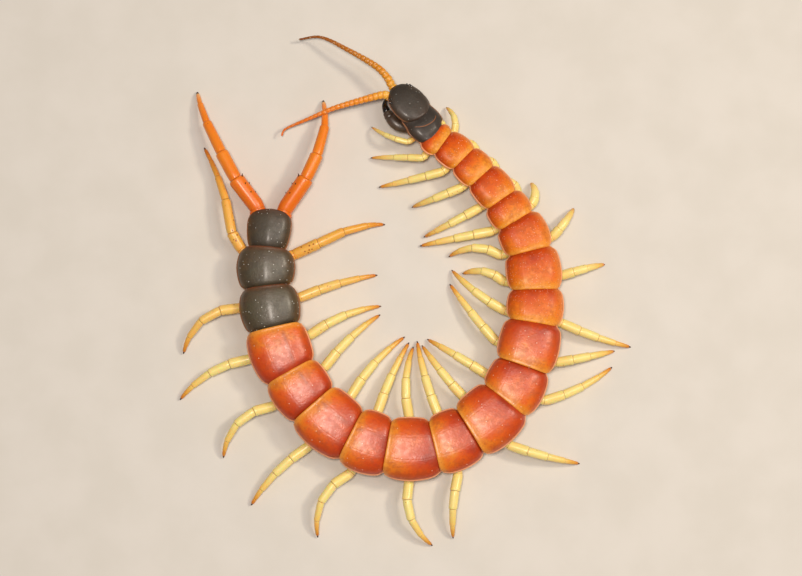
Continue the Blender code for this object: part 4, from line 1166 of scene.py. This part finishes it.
# The head, its feelers, eyes and jaws.
HEAD_CUT = 0.5
HEAD_OVER = 0.35
HEAD_TONE = 0.8
HEAD_THICKNESS = 0.3
HEAD_ROWS = [
    (0.03, -0.1), (0.045, 0.0), (0.07, 0.04), (0.11, 0.05), (0.17, 0.05), (0.25, 0.05), (0.34, 0.05),
    (0.44, 0.05), (0.54, 0.05), (0.64, 0.05), (0.74, 0.05), (0.83, 0.03), (0.9, 0.02), (0.95, 0.04),
    (0.98, 0.04), (1.0, -0.06),
]
HEAD_UNDER_RINGS = [
    (0.07, 0.6), (0.09, 0.85), (0.14, 1.0), (0.3, 1.0), (0.5, 1.0), (0.7, 1.0), (0.9, 0.95), (0.98, 0.8),
    (1.0, 0.5),
]
EYE_RINGS = [(-0.6, 1.15), (0.0, 1.15), (0.12, 0.98), (0.5, 0.85), (0.85, 0.5), (0.97, 0.15)]


def head_spot(spot):
    shares = HEAD_SHAPE(spot.y)
    angle = (1.0 + spot.x) * math.pi / 2
    out, up = arch_out(angle, HEAD_WIDTH * shares.y, HEAD_HEIGHT * shares.z, spot.z)
    cut = HEAD_CUT * abs(spot.x) ** 3 * spot.y ** 8
    return trunk_point(spot.y * (HEAD_LENGTH + HEAD_OVER) - cut, out, up + head_lift(shares.z))


def head_under_spot(spot):
    """A point on the soft underside of the head, just inside its shield."""
    shares = HEAD_SHAPE(spot.y)
    out, up = in_section(spot, HEAD_WIDTH * shares.y * SKIN_INSET, HEAD_HEIGHT * shares.z * SKIN_INSET)
    return trunk_point(spot.y * HEAD_LENGTH, out, up + head_lift(shares.z))


def make_head():
    """The shield of the head, the soft part below it and four eyes on each side."""
    shield = laid(softened(drawn_sheet(PLATE_COLUMNS, HEAD_ROWS)), head_spot, HEAD_TONE)
    modified(shield, "SOLIDIFY", thickness=HEAD_THICKNESS * MM, offset=-1.0)
    shown(shield, "head_shield", DARK_PLATE, "dark_plates")
    under = softened(drawn_bar(24, HEAD_UNDER_RINGS))
    shown(facing_out(laid(under, head_under_spot)), "head_underside", JAW_SHELL, "dark_plates", "head")
    bead = softened(drawn_bar(10, EYE_RINGS))
    eyes = []
    for side in (-1, 1):
        for along, angle, radius in EYES:
            shares = HEAD_SHAPE(along / HEAD_LENGTH)
            lift = head_lift(shares.z)
            arch = math.radians(angle), HEAD_WIDTH * shares.y, HEAD_HEIGHT * shares.z
            out, up = arch_point(*arch)
            far_out, far_up = arch_out(*arch, 1.0)
            place = trunk_point(along, side * out, up + lift)
            outward = trunk_point(along, side * far_out, far_up + lift) - place
            size = Vector((radius, radius, radius))
            eyes.append(facing_out(stood(bead, place, outward, TRUNK.heading(along), size)))
    dropped(bead)
    shown(joined(eyes, "eyes"), "eyes", EYE_GLASS, "dark_plates")


FEELER_RADIUS = 1.0
FEELER_TIP_RADIUS = 0.22
FEELER_TAPER = 0.85
FEELER_ROOT = [(-0.9, 0.9), (-0.3, 1.04), (-0.1, 1.02), (-0.03, 0.84)]
FEELER_RING = [(0.02, 0.84), (0.14, 0.96), (0.5, 1.02), (0.86, 1.0), (0.96, 0.86)]
FEELER_TIP = [(23.95, 0.7), (24.0, 0.3)]


def feeler_spot(way, socket):
    """A point on a feeler: Y counts its rings, and is below 0 down in the socket."""
    def where(spot):
        share = max(spot.y, 0.0) / ANTENNA_RINGS
        distance = socket + (spot.y * socket if spot.y < 0 else share * (way.length - socket))
        radius = FEELER_RADIUS + (FEELER_TIP_RADIUS - FEELER_RADIUS) * share ** FEELER_TAPER
        return around(way.at(distance), way.heading(distance), spot, radius)
    return where


def make_feelers():
    rings = list(FEELER_ROOT)
    for number in range(ANTENNA_RINGS):
        rings += [(number + place, radius) for place, radius in FEELER_RING]
    form = softened(drawn_bar(10, rings[:-1] + FEELER_TIP))
    for side, word, line, paint, slot in (
            (1, "right", RIGHT_ANTENNA_LINE, AMBER_FEELER, "antenna_amber"),
            (-1, "left", LEFT_ANTENNA_LINE, ORANGE_FEELER, "antenna_orange")):
        along, out, spread = SOCKET_ROOT
        root = trunk_point(along, out + side * spread, SOCKET_UP - SOCKET_ROOT_DROP)
        points = smooth_line([trunk_point(*SOCKETS[side], SOCKET_UP)] + [placed(p) for p in line])
        way = Way([root] + points)
        feeler = laid(copied(form, "feeler"), feeler_spot(way, way.marks[1]))
        shown(facing_out(feeler), f"feeler_{word}", paint, slot, f"antenna_{word}")
    dropped(form)


JAW_RINGS = [
    (-0.17, 0.4), (-0.15, 0.7), (-0.08, 0.92), (0.03, 1.0), (0.15, 1.0), (0.3, 1.0), (0.4, 1.0),
    (0.455, 0.98), (0.47, 0.86), (0.485, 0.96), (0.53, 0.99), (0.545, 0.88), (0.56, 0.97), (0.6, 0.98),
    (0.615, 0.84), (0.625, 0.6),
]
FANG_RINGS = [
    (0.6, 0.7), (0.62, 0.9), (0.66, 0.98), (0.75, 1.0), (0.86, 1.0), (0.94, 0.97), (0.98, 0.9), (1.0, 0.5),
]
THROAT_RINGS = [
    (3.3, 0.8), (3.4, 0.93), (3.8, 1.0), (5.0, 1.0), (6.5, 1.0), (8.0, 1.0), (8.5, 0.95), (8.65, 0.85),
]
TEETH_OUT, TEETH_UP = 0.45, -0.35
TEETH_SIZE = Vector((0.75, 0.35, 0.35))


def jaw_spot(way):
    """Where the corners of a straight jaw go: Y is the share of its length, below 0 inside the head."""
    def where(spot):
        distance = min(max(spot.y, 0.001), 0.999) * way.length
        heading = way.heading(distance, 0.3)
        place = way.at(distance) + heading * min(spot.y, 0.0) * way.length
        return around(place, heading, spot, FANG_SHAPE(max(spot.y, 0.0)).y, FANG_FLATNESS)
    return where


def throat_spot(spot):
    out, up = in_section(spot, THROAT_SHAPE(spot.y).y, THROAT_HEIGHT)
    return trunk_point(spot.y, out, up + THROAT_UP)


def tooth_form():
    """A small plate with four blunt teeth along its front edge."""
    bpy.ops.object.select_all(action="DESELECT")
    bpy.ops.mesh.primitive_cube_add(size=1)
    plate = bpy.context.object
    bpy.ops.object.mode_set(mode="EDIT")
    for cut in (0, -0.25, 0.25):
        bpy.ops.mesh.select_all(action="SELECT")
        bpy.ops.mesh.bisect(plane_co=(cut, 0, 0), plane_no=(1, 0, 0))
    for middle in (-0.375, -0.125, 0.125, 0.375):
        choose(plate, lambda spot: spot.y > 0.49 and abs(spot.x - middle) < 0.05, "FACE")
        bpy.ops.mesh.extrude_region_move(TRANSFORM_OT_translate={"value": (0, 0.5, 0)})
        bpy.ops.transform.resize(value=(0.4, 1, 0.4), center_override=(middle, 1.0, 0))
    bpy.ops.object.mode_set(mode="OBJECT")
    return softened(plate)


def make_jaws():
    """The two jaws with their fangs, and the plate between them with its teeth."""
    jaw_form, fang_form = softened(drawn_bar(14, JAW_RINGS)), softened(drawn_bar(12, FANG_RINGS))
    for side, word in ((-1, "left"), (1, "right")):
        way = Way(smooth_line([trunk_point(along, side * out, FANG_UP) for along, out in FANG_LINE]))
        jaw, fang = (facing_out(laid(copied(form, "jaw"), jaw_spot(way))) for form in (jaw_form, fang_form))
        shown(jaw, f"jaw_{word}", JAW_SHELL, "fang", f"forcipule_{word}")
        shown(fang, f"fang_{word}", FANG_HORN, "fang")
    throat = softened(drawn_bar(20, THROAT_RINGS))
    shown(facing_out(laid(throat, throat_spot)), "jaw_base", JAW_SHELL, "fang", "throat_plate")
    tooth = tooth_form()
    front = THROAT_PLATE[0][0]
    forward, aside = -TRUNK.heading(front), trunk_frame(front)[1]
    places = [trunk_point(front, side * TEETH_OUT, TEETH_UP) for side in (-1, 1)]
    teeth = [facing_out(stood(tooth, place, forward, aside, TEETH_SIZE)) for place in places]
    shown(joined(teeth, "teeth"), "jaw_teeth", FANG_HORN, "fang")
    dropped(jaw_form, fang_form, tooth)


# The lobes beside the tail that carry the last pair of legs.
LOBE_RINGS = [
    (0.0, 0.5), (0.06, 0.8), (0.25, 1.0), (0.5, 1.05), (0.72, 0.95), (0.86, 0.7), (0.94, 0.36), (1.0, 0.1),
]
LOBE_START = 0.75
LOBE_PAST_END = 1.3
LOBE_OUT = 0.33
LOBE_TURNS_IN = 0.4
LOBE_UP = 0.24
LOBE_RADII = (1.35, 1.15)


def make_tail_lobes():
    form = softened(drawn_bar(16, LOBE_RINGS))
    length, width = PLATES[-1]
    lobes = []
    for side in (-1, 1):
        def where(spot):
            distance = TRUNK_END - length * LOBE_START + spot.y * (length * LOBE_START + LOBE_PAST_END)
            out = side * (width * LOBE_OUT - LOBE_TURNS_IN * spot.y) + spot.x * LOBE_RADII[0]
            return trunk_point(distance, out, plate_height(width) * LOBE_UP + spot.z * LOBE_RADII[1])
        lobes.append(facing_out(laid(copied(form, "lobe"), where)))
    dropped(form)
    shown(joined(lobes, "lobes"), "tail_lobes", TAIL_LEG, "tail_legs")


make_skin()
make_belly()
make_breathing_holes()
make_back_plates()
make_legs()
make_head()
make_feelers()
make_jaws()
make_tail_lobes()

# The floor, the light and the camera.
bpy.ops.object.select_all(action="DESELECT")
bpy.ops.mesh.primitive_plane_add(size=2.0)
floor = bpy.context.object
floor.name = "floor"
floor.data.materials.append(plain_finish("matt_card", "#DEDAD3", "#D9D5CD", 0.85, 0.0, 0.0, 3.0, 0.0, 1.45))

world = bpy.data.worlds.new("studio")
world.use_nodes = True
sky = world.node_tree.nodes["Background"].inputs
sky["Color"].default_value = shade("#E6E9EE")
sky["Strength"].default_value = 0.2
bpy.context.scene.world = world
bpy.context.scene.view_settings.view_transform = "Standard"


def lamp(name, power, size, colour, turn, rise, distance=0.65, target=Vector((0.0, 0.0, 0.0))):
    """A square soft light, aimed at a target: its turn from the right and its rise are in degrees."""
    data = bpy.data.lights.new(name, "AREA")
    data.energy = power
    data.size = size
    data.color = shade(colour)[:3]
    turn, rise = math.radians(turn), math.radians(rise)
    level = math.cos(rise)
    place = Vector((math.cos(turn) * level, math.sin(turn) * level, math.sin(rise))) * distance
    thing = bpy.data.objects.new(name, data)
    thing.location = target + place
    thing.rotation_euler = (-place).to_track_quat("-Z", "Y").to_euler()
    bpy.context.scene.collection.objects.link(thing)


lamp("key_light", 1.4, 0.09, "#FFF1DC", 16.0, 50.0)
lamp("fill_light", 0.65, 0.2, "#FFF6F0", 12.0, 66.0)
lamp("sheen_light", 2.0, 0.08, "#FFF2E6", 195.0, 87.8, 0.6, Vector((-8.0, -24.0, 6.0)) * MM)

TARGET = Vector((-1.0, 0.0, 4.0)) * MM
LENS = 100.0
# The width of the photo's frame in pixels, and what one pixel is wide at the animal, in millimetres.
FRAME_WIDTH = 802 * 0.21 * MM
SENSOR_WIDTH = 36.0
ELEVATION = math.radians(84.0)
view = bpy.data.cameras.new("camera")
view.lens = LENS
view.sensor_width = SENSOR_WIDTH
camera = bpy.data.objects.new("camera", view)
away = FRAME_WIDTH * LENS / SENSOR_WIDTH
camera.location = TARGET + Vector((0.0, -math.cos(ELEVATION), math.sin(ELEVATION))) * away
camera.rotation_euler = (TARGET - camera.location).to_track_quat("-Z", "Y").to_euler()
bpy.context.scene.collection.objects.link(camera)
bpy.context.scene.camera = camera
